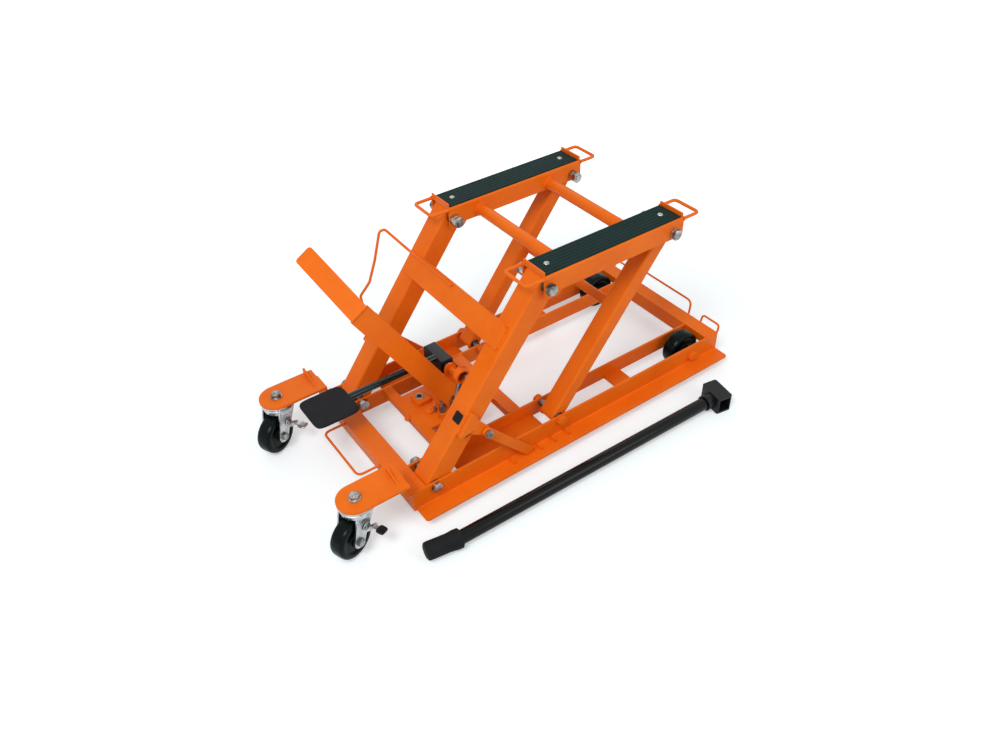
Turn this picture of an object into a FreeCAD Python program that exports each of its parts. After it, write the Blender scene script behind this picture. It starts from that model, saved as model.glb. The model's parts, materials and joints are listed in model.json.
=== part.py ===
import FreeCAD, Part
import math
import os

from FreeCAD import Placement, Rotation, Vector

os.makedirs("parts", exist_ok=True)

# A hydraulic motorcycle lift, in millimetres, standing raised. X runs from the front
# casters to the rear wheels, Y across and Z up from the floor. The origin is on the floor,
# midway between the two front lower pivots. The near side is -Y, the far side +Y.

# Scissor frame
ARM_LENGTH = 390.0
ARM_ANGLE = 52.2
PIVOT_SPACING = 272.0
PIVOT_HEIGHT = 52.4

# Rails
RAIL_OUTER_Y = 164.6
RAIL_INNER_Y = 100.0
RAIL_WALL = 4.0
RAIL_BOTTOM = 18.5
RAIL_TOP = 61.0
RAIL_FRONT = 47.0
RAIL_REAR = 410.0
FOOT_REACH = 33.4
FOOT_THICKNESS = 3.5
INNER_RAIL_BOTTOM = 28.0

# Cross-members
MEMBER_THICKNESS = 5.0
MEMBER_LIP = 4.0
MEMBER_LIP_BOTTOM = 34.0
FRONT_MEMBER_FRONT = 55.0
FRONT_MEMBER_REAR = 18.5
REAR_MEMBER_DEPTH = 34.0
JACK_MEMBER_X = 46.0
JACK_MEMBER_DEPTH = 18.0
MID_MEMBER_X = 200.0
MID_MEMBER_DEPTH = 25.0

# Wheels and casters
WHEEL_RADIUS = 38.0
WHEEL_WIDTH = 28.0
REAR_AXLE_SETBACK = 73.0
REAR_HUB_SIDE_GAP = 2.3
STEM_X = -142.0
STEM_Y = 153.0
CASTER_TRAIL = 25.0
NEAR_CASTER_HEADING = 201.0
FAR_CASTER_HEADING = 208.0
BRACKET_TOP = 108.0

# Platform
SADDLE_INNER_Y = 109.0
SADDLE_OUTER_Y = 169.0
SADDLE_FRONT = 10.0
SADDLE_REAR = 21.0
SADDLE_TOP = 23.5
SADDLE_SKIRT = 11.5
SADDLE_WALL = 3.0

# Front arms, open channels
FRONT_ARM_INNER_Y = 117.0
FRONT_ARM_OUTER_Y = 159.0
FRONT_ARM_TOP = 17.0
FRONT_ARM_BOTTOM = 22.5
ARM_WALL = 2.5

# Rear arms, closed tubes that the channels cover when the lift is down
REAR_ARM_INNER_Y = 120.0
REAR_ARM_OUTER_Y = 156.0
REAR_ARM_TOP = 14.5
REAR_ARM_BOTTOM = 13.5

# Bolts and fits
BOLT_RADIUS = 6.0
BOLT_FLATS = 18.0
BOLT_HEAD = 7.5
NUT_LENGTH = 10.0
HOLE_CLEARANCE = 0.2
RUNNING_CLEARANCE = 0.05
OPEN_PIVOT_CLEARANCE = 0.3
SIDE_CLEARANCE = 0.3
WELD_CLEARANCE = 0.05
OVERRUN = 1.0

FAR, NEAR = 1, -1
PIVOTS_X = (0, PIVOT_SPACING)
RAIL_REAR_X = PIVOT_SPACING + RAIL_REAR
RAIL_GAP_Y = RAIL_INNER_Y + RAIL_WALL
RAIL_GAP_OUTER_Y = RAIL_OUTER_Y - RAIL_WALL
ANGLE = math.radians(ARM_ANGLE)


def box(x0, x1, y0, y1, z0, z1):
    """Block between two corners."""
    return Part.makeBox(x1 - x0, y1 - y0, z1 - z0, Vector(x0, y0, z0))


def rod(start, end, radius):
    """Round bar between two points."""
    span = end - start
    return Part.makeCylinder(radius, span.Length, start, span)


def pipe(start, end, radius, bore):
    """Round tube between two points."""
    return rod(start, end, radius).cut(rod(start, end, bore))


def hex_bar(start, end, flats):
    """Bolt head or nut between two points."""
    span = end - start
    turn = Rotation(Vector(0, 0, 1), span)
    corner = flats / math.sqrt(3)
    angles = [math.pi / 3 * side for side in range(7)]
    ring = [Vector(corner * math.cos(a), corner * math.sin(a), 0) for a in angles]
    return Part.Face(Part.makePolygon([start + turn.multVec(p) for p in ring])).extrude(span)


def fuse(first, *others):
    """One solid from several that touch or overlap."""
    return first.fuse(list(others)).removeSplitter()


def corner_arc(before, corner, after, radius):
    """Start, middle and finish of the arc that rounds a corner."""
    back = (before - corner).normalize()
    ahead = (after - corner).normalize()
    half = back.getAngle(ahead) / 2
    reach = radius / math.tan(half)
    middle = corner + (back + ahead).normalize() * (radius / math.sin(half) - radius)
    return corner + back * reach, middle, corner + ahead * reach


def rounded_face(corners):
    """Flat face inside a ring of (point, corner radius)."""
    count = len(corners)
    arcs = []
    for i, (corner, radius) in enumerate(corners):
        arcs.append(corner_arc(corners[i - 1][0], corner, corners[(i + 1) % count][0], radius))
    edges = []
    for i, (start, middle, finish) in enumerate(arcs):
        if corners[i][1] > 0:
            edges.append(Part.Arc(start, middle, finish).toShape())
        edges.append(Part.LineSegment(finish, arcs[(i + 1) % count][0]).toShape())
    return Part.Face(Part.Wire(edges))


def ring_of(u0, u1, v0, v1, radius):
    """Rectangle's corners with the same radius at each of them."""
    return [(u0, v0, radius), (u1, v0, radius), (u1, v1, radius), (u0, v1, radius)]


def side_plate(corners, y0, y1):
    """Plate along Y from a ring of (x, z, corner radius)."""
    face = rounded_face([(Vector(x, y0, z), radius) for x, z, radius in corners])
    return face.extrude(Vector(0, y1 - y0, 0))


def flat_plate(corners, z0, z1):
    """Plate along Z from a ring of (x, y, corner radius)."""
    face = rounded_face([(Vector(x, y, z0), radius) for x, y, radius in corners])
    return face.extrude(Vector(0, 0, z1 - z0))


def long_section(corners, x0, x1):
    """Bar along X from a ring of (y, z, corner radius)."""
    face = rounded_face([(Vector(x0, y, z), radius) for y, z, radius in corners])
    return face.extrude(Vector(x1 - x0, 0, 0))


def bent_wire(points, bend, radius):
    """Round wire through points, with the same bend at each of them."""
    edges = []
    start = points[0]
    for before, corner, after in zip(points, points[1:], points[2:]):
        arc_start, middle, arc_finish = corner_arc(before, corner, after, bend)
        edges.append(Part.LineSegment(start, arc_start).toShape())
        edges.append(Part.Arc(arc_start, middle, arc_finish).toShape())
        start = arc_finish
    edges.append(Part.LineSegment(start, points[-1]).toShape())
    section = Part.Wire(Part.makeCircle(radius, points[0], points[1] - points[0]))
    return Part.Wire(edges).makePipeShell([section], True, True)


def mirrored(shape):
    """The same piece on the other side of the lift."""
    return shape.mirror(Vector(0, 0, 0), Vector(0, 1, 0))


def both(shape):
    """A piece and its copy on the other side."""
    return [shape, mirrored(shape)]


def placed(shape, position, turn):
    """A piece modelled about the origin, turned and then moved."""
    copy = shape.copy()
    copy.Placement = Placement(position, turn).multiply(copy.Placement)
    return copy


def on_arm(shape, pivot_x):
    """A piece modelled with its lower pivot at the origin and its arm along X."""
    return placed(shape, Vector(pivot_x, 0, PIVOT_HEIGHT), Rotation(Vector(0, 1, 0), -ARM_ANGLE))


def save(node, *solids):
    """Writes one sub-part."""
    shape = solids[0] if len(solids) == 1 else Part.makeCompound(list(solids))
    shape.exportStep(f"parts/{node}.step")


def y_rod(x, z, y0, y1, radius):
    """Round bar across the lift."""
    return rod(Vector(x, y0, z), Vector(x, y1, z), radius)


def y_pipe(x, z, y0, y1, radius, bore):
    """Round tube across the lift."""
    return pipe(Vector(x, y0, z), Vector(x, y1, z), radius, bore)


def z_rod(x, y, z0, z1, radius):
    """Upright round bar."""
    return rod(Vector(x, y, z0), Vector(x, y, z1), radius)


def y_hex(x, z, y0, y1, flats):
    """Bolt head or nut on an axis across the lift."""
    return hex_bar(Vector(x, y0, z), Vector(x, y1, z), flats)


# Rails: an outer angle with a wide foot, and a plain inner wall
RAIL_BEND = 4.0
FOOT_FRONT_SETBACK = 5.0
FOOT_CORNER = 6.0
END_PLATE = 4.0
FLOOR_PLATE = 4.0
FLOOR_PLATES_X = ((60.0, 250.0), (430.0, 470.0))
STOPS_X = (153.8, 214.0, 247.0, 278.5)
STOP_INNER_Y = 168.0
STOP_OUTER_Y = 182.0
STOP_THICKNESS = 4.0
STOP_HEIGHT = 6.0

REAR_AXLE_X = RAIL_REAR_X - REAR_AXLE_SETBACK
BASE_AXES = [(x, PIVOT_HEIGHT) for x in PIVOTS_X] + [(REAR_AXLE_X, WHEEL_RADIUS)]


def drilled(wall, y0, y1):
    """A rail wall with the holes of its pivots and its axle."""
    hole = BOLT_RADIUS + HOLE_CLEARANCE
    for x, z in BASE_AXES:
        wall = wall.cut(y_rod(x, z, y0 - OVERRUN, y1 + OVERRUN, hole))
    return wall


def foot_corner(x, y, inward):
    """What rounding a corner of the foot takes away."""
    x1 = x + inward * FOOT_CORNER
    z0, z1 = RAIL_BOTTOM - OVERRUN, RAIL_BOTTOM + FOOT_THICKNESS + OVERRUN
    block = box(min(x, x1), max(x, x1), y - FOOT_CORNER, y, z0, z1)
    return block.cut(z_rod(x1, y - FOOT_CORNER, z0, z1, FOOT_CORNER))


def outer_rail():
    edge = RAIL_OUTER_Y + FOOT_REACH
    step = RAIL_BOTTOM + FOOT_THICKNESS
    section = [
        (RAIL_GAP_OUTER_Y, RAIL_BOTTOM, RAIL_BEND),
        (edge, RAIL_BOTTOM, 0),
        (edge, step, 0),
        (RAIL_OUTER_Y, step, RAIL_BEND / 2),
        (RAIL_OUTER_Y, RAIL_TOP, 0),
        (RAIL_GAP_OUTER_Y, RAIL_TOP, 0),
    ]
    rail = long_section(section, -RAIL_FRONT, RAIL_REAR_X)
    foot_front = FOOT_FRONT_SETBACK - RAIL_FRONT
    x0, z0 = -RAIL_FRONT - OVERRUN, RAIL_BOTTOM - OVERRUN
    rail = rail.cut(box(x0, foot_front, RAIL_OUTER_Y, edge + OVERRUN, z0, RAIL_TOP))
    rail = rail.cut(foot_corner(foot_front, edge, 1)).cut(foot_corner(RAIL_REAR_X, edge, -1))
    return drilled(rail, RAIL_GAP_OUTER_Y, RAIL_OUTER_Y)


def inner_rail():
    under = RAIL_TOP - MEMBER_THICKNESS
    rear_member_x = RAIL_REAR_X - REAR_MEMBER_DEPTH
    wall = box(-FRONT_MEMBER_REAR, rear_member_x, RAIL_INNER_Y, RAIL_GAP_Y, INNER_RAIL_BOTTOM, RAIL_TOP)
    low_front = MEMBER_LIP - FRONT_MEMBER_FRONT
    low_rear = RAIL_REAR_X - MEMBER_LIP
    low = box(low_front, low_rear, RAIL_INNER_Y, RAIL_GAP_Y, INNER_RAIL_BOTTOM, under)
    return drilled(fuse(wall, low), RAIL_INNER_Y, RAIL_GAP_Y)


def end_plate():
    x0, x1 = -RAIL_FRONT, END_PLATE - RAIL_FRONT
    under = RAIL_TOP - MEMBER_THICKNESS
    return box(x0, x1, RAIL_GAP_Y, RAIL_GAP_OUTER_Y, RAIL_BOTTOM, under)


def floor_plates():
    z0 = INNER_RAIL_BOTTOM
    return [box(x0, x1, RAIL_GAP_Y, RAIL_GAP_OUTER_Y, z0, z0 + FLOOR_PLATE) for x0, x1 in FLOOR_PLATES_X]


def flange_stops():
    z0 = RAIL_BOTTOM + FOOT_THICKNESS
    half = STOP_THICKNESS / 2
    return [box(x - half, x + half, STOP_INNER_Y, STOP_OUTER_Y, z0, z0 + STOP_HEIGHT) for x in STOPS_X]


save("rail_outer_far", outer_rail())
save("rail_outer_near", mirrored(outer_rail()))
save("rail_inner_far", inner_rail())
save("rail_inner_near", mirrored(inner_rail()))
rail_plates = [end_plate()] + floor_plates() + flange_stops()
save("rail_plates", *[side for plate in rail_plates for side in both(plate)])

# Cross-members and the wire loops at both ends of the base
NARROW_LIP_DEPTH = 10.0
LOOP_WIRE_RADIUS = 2.5
LOOP_BEND = 10.0
FRONT_LOOP_HALF_WIDTH = 66.0
FRONT_LOOP_REACH = 43.0
REAR_LOOP_HALF_WIDTH = 77.0
REAR_LOOP_TOP = 91.0
REAR_LOOP_LEAN = 6.0
REAR_LOOP_STAND = 4.0
SMALL_LOOP_INNER_Y = 112.0
SMALL_LOOP_OUTER_Y = 158.0
SMALL_LOOP_TOP = 75.0
LOOP_FOOT_DROP = 3.0


def member(x0, x1, half_width, lip_half_width, lip_x0, lip_bottom):
    """Cross-member: a flat top, and a lip bent down at one of its edges."""
    under = RAIL_TOP - MEMBER_THICKNESS
    top = box(x0, x1, -half_width, half_width, under, RAIL_TOP)
    lip = box(lip_x0, lip_x0 + MEMBER_LIP, -lip_half_width, lip_half_width, lip_bottom, RAIL_TOP)
    return fuse(top, lip)


def front_member():
    front, rear = -FRONT_MEMBER_FRONT, -FRONT_MEMBER_REAR
    shape = member(front, rear, RAIL_GAP_OUTER_Y, RAIL_GAP_Y, front, MEMBER_LIP_BOTTOM)
    z = RAIL_TOP - LOOP_FOOT_DROP - LOOP_WIRE_RADIUS
    for side in (NEAR, FAR):
        start = Vector(front - OVERRUN, side * FRONT_LOOP_HALF_WIDTH, z)
        end = Vector(rear, side * FRONT_LOOP_HALF_WIDTH, z)
        shape = shape.cut(rod(start, end, LOOP_WIRE_RADIUS + WELD_CLEARANCE))
    return shape


def rear_member():
    x0 = RAIL_REAR_X - REAR_MEMBER_DEPTH
    lip_x = RAIL_REAR_X - MEMBER_LIP
    return member(x0, RAIL_REAR_X, RAIL_GAP_OUTER_Y, RAIL_GAP_OUTER_Y, lip_x, MEMBER_LIP_BOTTOM)


def narrow_member(x0, depth):
    lip_bottom = RAIL_TOP - MEMBER_THICKNESS - NARROW_LIP_DEPTH
    return member(x0, x0 + depth, RAIL_INNER_Y, RAIL_INNER_Y, x0, lip_bottom)


def front_loop():
    y = FRONT_LOOP_HALF_WIDTH
    z = RAIL_TOP - LOOP_FOOT_DROP - LOOP_WIRE_RADIUS
    root = MEMBER_LIP - FRONT_MEMBER_FRONT
    tip = -FRONT_MEMBER_FRONT - FRONT_LOOP_REACH
    points = [Vector(root, -y, z), Vector(tip, -y, z), Vector(tip, y, z), Vector(root, y, z)]
    return bent_wire(points, LOOP_BEND, LOOP_WIRE_RADIUS)


def rear_loop(y0, y1, top):
    """Upright loop that stands on the rear face of the rear cross-member."""
    x0 = RAIL_REAR_X
    x1 = RAIL_REAR_X + REAR_LOOP_STAND + LOOP_WIRE_RADIUS
    foot = RAIL_TOP - LOOP_FOOT_DROP - LOOP_WIRE_RADIUS
    x2 = x1 + REAR_LOOP_LEAN
    low = [Vector(x0, y0, foot), Vector(x1, y0, foot), Vector(x2, y0, top)]
    high = [Vector(x2, y1, top), Vector(x1, y1, foot), Vector(x0, y1, foot)]
    bend = REAR_LOOP_STAND
    return bent_wire(low + high, bend, LOOP_WIRE_RADIUS)


save("front_cross_member", front_member())
save("rear_cross_member", rear_member())
save("jack_cross_member", narrow_member(JACK_MEMBER_X, JACK_MEMBER_DEPTH))
save("mid_cross_member", narrow_member(MID_MEMBER_X, MID_MEMBER_DEPTH))
small_loop = rear_loop(SMALL_LOOP_INNER_Y, SMALL_LOOP_OUTER_Y, SMALL_LOOP_TOP)
wide_loop = rear_loop(-REAR_LOOP_HALF_WIDTH, REAR_LOOP_HALF_WIDTH, REAR_LOOP_TOP)
save("base_loops", front_loop(), wide_loop, *both(small_loop))

# Lower pivot bolts, nuts and rear axles


def through_bolt(x, z, inner_y, outer_y):
    """Bolt with its head outside the outer rail and its end in the nut inside."""
    shank = y_rod(x, z, inner_y, outer_y + BOLT_HEAD / 2, BOLT_RADIUS)
    return fuse(shank, y_hex(x, z, outer_y, outer_y + BOLT_HEAD, BOLT_FLATS))


def bolt_nut(x, z, outer_y):
    """Nut with its bolt's hole, its outer face at outer_y."""
    inner_y = outer_y - NUT_LENGTH
    nut = y_hex(x, z, inner_y, outer_y, BOLT_FLATS)
    return nut.cut(y_rod(x, z, inner_y - OVERRUN, outer_y + OVERRUN, BOLT_RADIUS + WELD_CLEARANCE))


LOWER_BOLT_END = RAIL_INNER_Y - NUT_LENGTH - OVERRUN
base_bolts = [through_bolt(x, z, LOWER_BOLT_END, RAIL_OUTER_Y) for x, z in BASE_AXES]
base_nuts = [bolt_nut(x, z, RAIL_INNER_Y) for x, z in BASE_AXES]
save("base_bolts", *[side for bolt in base_bolts for side in both(bolt)])
save("base_nuts", *[side for nut in base_nuts for side in both(nut)])

# Wheels: a rounded tyre on a hub that is a little wider
WHEEL_EDGE = 5.0
HUB_RADIUS = 12.0
HUB_RECESS = 3.0
RECESS_RADIUS = 27.0


def wheel(hub_half, bore):
    """Wheel about the Y axis, centred at the origin."""
    half = WHEEL_WIDTH / 2
    ring = [
        (bore, -hub_half, 0),
        (HUB_RADIUS, -hub_half, 0),
        (HUB_RADIUS, HUB_RECESS - half, 0),
        (RECESS_RADIUS, HUB_RECESS - half, 0),
        (RECESS_RADIUS, -half, 0),
        (WHEEL_RADIUS, -half, WHEEL_EDGE),
        (WHEEL_RADIUS, half, WHEEL_EDGE),
        (RECESS_RADIUS, half, 0),
        (RECESS_RADIUS, half - HUB_RECESS, 0),
        (HUB_RADIUS, half - HUB_RECESS, 0),
        (HUB_RADIUS, hub_half, 0),
        (bore, hub_half, 0),
    ]
    face = rounded_face([(Vector(r, y, 0), radius) for r, y, radius in ring])
    return face.revolve(Vector(0, 0, 0), Vector(0, 1, 0), 360)


def rear_wheel():
    middle_y = (RAIL_GAP_Y + RAIL_GAP_OUTER_Y) / 2
    hub_half = RAIL_GAP_OUTER_Y - middle_y - REAR_HUB_SIDE_GAP
    shape = wheel(hub_half, BOLT_RADIUS + RUNNING_CLEARANCE)
    return placed(shape, Vector(REAR_AXLE_X, middle_y, WHEEL_RADIUS), Rotation())


save("rear_wheel_far", rear_wheel())
save("rear_wheel_near", mirrored(rear_wheel()))

# Caster brackets on the front cross-member
BRACKET_THICKNESS = 5.0
BRACKET_HALF_WIDTH = 32.0
BRACKET_REAR_X = -57.0
BRACKET_FOOT_REAR_X = -34.0
RIB_X = -69.7
RIB_THICKNESS = 4.0
RIB_HEIGHT = 12.0
NEAR_RIB_Y = (-173.0, -131.0)
FAR_RIB_Y = (130.0, 183.0)
STEM_RADIUS = 6.0
STEM_HEAD = 8.0
STEM_WASHER = 2.0
STEM_WASHER_RADIUS = 13.0
SWIVEL_PLATE = 5.0
SWIVEL_RADIUS = 26.0
STEM_FOOT = 4.0
STEM_FOOT_RADIUS = 10.0
CROWN_RADIUS = 24.0
CROWN_THICKNESS = 7.5
SWIVEL_GAP = 0.5
CROWN_TOP = BRACKET_TOP - BRACKET_THICKNESS - SWIVEL_PLATE - SWIVEL_GAP
CROWN_BOTTOM = CROWN_TOP - CROWN_THICKNESS


def caster_bracket(rib_y):
    """Shelf over the caster, stood on the cross-member by a bent riser; rib_y runs up to its high end."""
    side = FAR if rib_y[0] > 0 else NEAR
    stem_y = side * STEM_Y
    inner_edge = side * (STEM_Y - BRACKET_HALF_WIDTH)
    top = BRACKET_TOP
    under = top - BRACKET_THICKNESS
    riser_x = -FRONT_MEMBER_FRONT - BRACKET_THICKNESS
    y0, y1 = stem_y - BRACKET_HALF_WIDTH, stem_y + BRACKET_HALF_WIDTH
    shelf = box(STEM_X, BRACKET_REAR_X, y0, y1, under, top)
    nose = z_rod(STEM_X, stem_y, under, top, BRACKET_HALF_WIDTH)
    inner, outer = sorted((inner_edge, side * RAIL_GAP_OUTER_Y))
    riser = box(riser_x, -FRONT_MEMBER_FRONT, inner, outer, RAIL_TOP - MEMBER_THICKNESS, top)
    foot = box(riser_x, BRACKET_FOOT_REAR_X, inner, outer, RAIL_TOP, RAIL_TOP + BRACKET_THICKNESS)
    low, high = rib_y
    ring = [Vector(RIB_X, low, top), Vector(RIB_X, high, top), Vector(RIB_X, high, top + RIB_HEIGHT)]
    rib = Part.Face(Part.makePolygon(ring + ring[:1])).extrude(Vector(-RIB_THICKNESS, 0, 0))
    shape = fuse(shelf, nose, riser, foot, rib)
    return shape.cut(z_rod(STEM_X, stem_y, 0, top + OVERRUN, STEM_RADIUS + HOLE_CLEARANCE))


def caster_stem():
    """Stem with its swivel plate under the bracket, about the stem axis."""
    plate_top = BRACKET_TOP - BRACKET_THICKNESS
    foot_z = CROWN_BOTTOM - SWIVEL_GAP - STEM_FOOT
    head_z = BRACKET_TOP + STEM_WASHER
    foot = z_rod(0, 0, foot_z, foot_z + STEM_FOOT, STEM_FOOT_RADIUS)
    shank = z_rod(0, 0, foot_z, head_z + STEM_HEAD / 2, STEM_RADIUS)
    plate = z_rod(0, 0, plate_top - SWIVEL_PLATE, plate_top, SWIVEL_RADIUS)
    washer = z_rod(0, 0, BRACKET_TOP, head_z, STEM_WASHER_RADIUS)
    head = hex_bar(Vector(0, 0, head_z), Vector(0, 0, head_z + STEM_HEAD), BOLT_FLATS)
    return fuse(foot, shank, plate, washer, head)


def at_stem(shape, side, heading):
    """A caster piece that trails along X about its stem, set at its place and heading."""
    return placed(shape, Vector(STEM_X, side * STEM_Y, 0), Rotation(Vector(0, 0, 1), heading))


# Caster forks, axles and brakes; the wheel trails along X, the brake is on the +Y side
LEG_INNER = 18.0
LEG_THICKNESS = 3.0
LEG_END_RADIUS = 11.0
LEG_ROOT = 19.0
AXLE_RADIUS = 5.0
AXLE_FLATS = 14.0
AXLE_HEAD = 5.0
AXLE_DISC_RADIUS = 11.0
AXLE_DISC = 1.5
BRAKE_X = 8.0
BRAKE_Z = 60.0
BRAKE_PIN_RADIUS = 3.0
BRAKE_EYE = 8.0
BRAKE_THICKNESS = 3.0
TAB_X = -9.0
TAB_Z = 45.0
TAB_LENGTH = 26.0
TAB_WIDTH = 22.0
TAB_THICKNESS = 5.0
TAB_CORNER = 2.0


def fork():
    outer = LEG_INNER + LEG_THICKNESS
    crown = z_rod(0, 0, CROWN_BOTTOM, CROWN_TOP, CROWN_RADIUS)
    middle = (CROWN_BOTTOM + CROWN_TOP) / 2
    blade = side_plate(
        [
            (-LEG_ROOT / 2, middle, 0),
            (LEG_ROOT / 2, middle, 0),
            (CASTER_TRAIL + LEG_END_RADIUS, WHEEL_RADIUS, 0),
            (CASTER_TRAIL - LEG_END_RADIUS, WHEEL_RADIUS, 0),
        ],
        LEG_INNER,
        outer,
    )
    end = y_rod(CASTER_TRAIL, WHEEL_RADIUS, LEG_INNER, outer, LEG_END_RADIUS)
    eye = y_rod(BRAKE_X, BRAKE_Z, LEG_INNER, outer, BRAKE_EYE)
    beyond = outer + OVERRUN
    leg = fuse(blade, end, eye)
    leg = leg.cut(y_rod(CASTER_TRAIL, WHEEL_RADIUS, 0, beyond, AXLE_RADIUS + HOLE_CLEARANCE))
    leg = leg.cut(y_rod(BRAKE_X, BRAKE_Z, 0, beyond, BRAKE_PIN_RADIUS + WELD_CLEARANCE))
    shape = fuse(crown, leg, mirrored(leg))
    return shape.cut(z_rod(0, 0, 0, CROWN_TOP + OVERRUN, STEM_RADIUS + RUNNING_CLEARANCE))


def caster_wheel():
    shape = wheel(LEG_INNER - SIDE_CLEARANCE, AXLE_RADIUS + RUNNING_CLEARANCE)
    return placed(shape, Vector(CASTER_TRAIL, 0, WHEEL_RADIUS), Rotation())


def caster_axle():
    """Bolt through the fork with a bright disc and a head on one side, a nut on the other."""
    x, z = CASTER_TRAIL, WHEEL_RADIUS
    outer = LEG_INNER + LEG_THICKNESS
    shank = y_rod(x, z, -outer - AXLE_HEAD, outer + AXLE_DISC, AXLE_RADIUS)
    disc = y_rod(x, z, -outer - AXLE_DISC, -outer, AXLE_DISC_RADIUS)
    head = y_hex(x, z, -outer - AXLE_DISC - AXLE_HEAD, -outer - AXLE_DISC, AXLE_FLATS)
    nut = y_hex(x, z, outer, outer + AXLE_HEAD, AXLE_FLATS)
    return fuse(shank, disc, head, nut)


def brake_pin():
    """Rivet that holds the brake pedal on the leg."""
    outer = LEG_INNER + LEG_THICKNESS
    pedal_face = outer + SIDE_CLEARANCE + BRAKE_THICKNESS + SIDE_CLEARANCE
    shank = y_rod(BRAKE_X, BRAKE_Z, LEG_INNER, pedal_face, BRAKE_PIN_RADIUS)
    head = y_rod(BRAKE_X, BRAKE_Z, pedal_face, pedal_face + BRAKE_PIN_RADIUS / 2, BRAKE_PIN_RADIUS * 2)
    return fuse(shank, head)


def brake_pedal():
    y0 = LEG_INNER + LEG_THICKNESS + SIDE_CLEARANCE
    y1 = y0 + BRAKE_THICKNESS
    half = TAB_THICKNESS / 2
    tab_x0, tab_x1 = TAB_X - TAB_WIDTH / 2, TAB_X + TAB_WIDTH / 2
    eye = y_rod(BRAKE_X, BRAKE_Z, y0, y1, BRAKE_EYE)
    web = side_plate(
        [
            (BRAKE_X - BRAKE_EYE, BRAKE_Z, 0),
            (BRAKE_X + BRAKE_EYE, BRAKE_Z, 0),
            (tab_x1, TAB_Z - half, 0),
            (tab_x0, TAB_Z - half, 0),
            (tab_x0, TAB_Z + half, 0),
        ],
        y0,
        y1,
    )
    tab_ring = ring_of(tab_x0, tab_x1, TAB_Z - half, TAB_Z + half, TAB_CORNER)
    tab = side_plate(tab_ring, y0, y0 + TAB_LENGTH)
    shape = fuse(eye, web, tab)
    return shape.cut(y_rod(BRAKE_X, BRAKE_Z, 0, y1 + OVERRUN, BRAKE_PIN_RADIUS + RUNNING_CLEARANCE))


save("caster_brackets", caster_bracket(NEAR_RIB_Y), caster_bracket(FAR_RIB_Y))
casters = (("near", NEAR, NEAR_CASTER_HEADING), ("far", FAR, FAR_CASTER_HEADING))
save("caster_stems", *[at_stem(caster_stem(), side, heading) for name, side, heading in casters])
for name, side, heading in casters:
    save(f"caster_fork_{name}", at_stem(fork(), side, heading))
    pins = [at_stem(piece, side, heading) for piece in (caster_axle(), brake_pin())]
    save(f"caster_axle_{name}", *pins)
    save(f"caster_wheel_{name}", at_stem(caster_wheel(), side, heading))
    save(f"caster_brake_{name}", at_stem(brake_pedal(), side, heading))

# Arms, modelled along X from the lower pivot at the origin, with Z square to them
ARM_LOWER_END = 16.0
FRONT_ARM_UPPER_END = 14.0
FRONT_ARM_CORNER = 12.0
FRONT_ARM_TOP_CORNER = 5.0
FRONT_ARM_HEEL_CORNER = 13.0
FRONT_ARM_BEND = 4.0
FRONT_ARM_INNER_BEND = 1.5
REAR_ARM_END = 15.0
REAR_ARM_CORNER = 12.0
REAR_ARM_BEND = 4.0
REAR_ARM_INNER_BEND = 1.5
BUSH_RADIUS = 10.0
COLLAR_RADIUS = 7.4


def arm_blank(lower_end, upper_end, y0, y1, bottom, top, corners):
    """Side outline of an arm, as thick as the arm is wide; corners are its under, tip and heel radii."""
    end = ARM_LENGTH + upper_end
    under, tip, heel = corners
    ring = [(-lower_end, -bottom, under), (end, -bottom, under), (end, top, tip), (-lower_end, top, heel)]
    return side_plate(ring, y0, y1)


def bored(arm, y0, y1):
    """An arm with the holes of its two bushes."""
    for x in (0, ARM_LENGTH):
        arm = arm.cut(y_rod(x, 0, y0 - OVERRUN, y1 + OVERRUN, BUSH_RADIUS + WELD_CLEARANCE))
    return arm


def front_arm():
    y0, y1 = FRONT_ARM_INNER_Y, FRONT_ARM_OUTER_Y
    bottom, top = FRONT_ARM_BOTTOM, FRONT_ARM_TOP
    section = [
        (y0, -bottom, 0),
        (y0 + ARM_WALL, -bottom, 0),
        (y0 + ARM_WALL, top - ARM_WALL, FRONT_ARM_INNER_BEND),
        (y1 - ARM_WALL, top - ARM_WALL, FRONT_ARM_INNER_BEND),
        (y1 - ARM_WALL, -bottom, 0),
        (y1, -bottom, 0),
        (y1, top, FRONT_ARM_BEND),
        (y0, top, FRONT_ARM_BEND),
    ]
    channel = long_section(section, -ARM_LOWER_END, ARM_LENGTH + FRONT_ARM_UPPER_END)
    corners = (FRONT_ARM_CORNER, FRONT_ARM_TOP_CORNER, FRONT_ARM_HEEL_CORNER)
    blank = arm_blank(ARM_LOWER_END, FRONT_ARM_UPPER_END, y0, y1, bottom, top, corners)
    return bored(channel.common(blank), y0, y1)


def rear_arm():
    y0, y1 = REAR_ARM_INNER_Y, REAR_ARM_OUTER_Y
    bottom, top = REAR_ARM_BOTTOM, REAR_ARM_TOP
    wall = ARM_WALL
    outer = ring_of(y0, y1, -bottom, top, REAR_ARM_BEND)
    inner = ring_of(y0 + wall, y1 - wall, wall - bottom, top - wall, REAR_ARM_INNER_BEND)
    x0, x1 = -REAR_ARM_END, ARM_LENGTH + REAR_ARM_END
    bar = long_section(outer, x0, x1)
    bore = long_section(inner, x0 - OVERRUN, x1 + OVERRUN)
    blank = arm_blank(REAR_ARM_END, REAR_ARM_END, y0, y1, bottom, top, (REAR_ARM_CORNER,) * 3)
    return bored(bar.cut(bore).common(blank), y0, y1)


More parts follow.
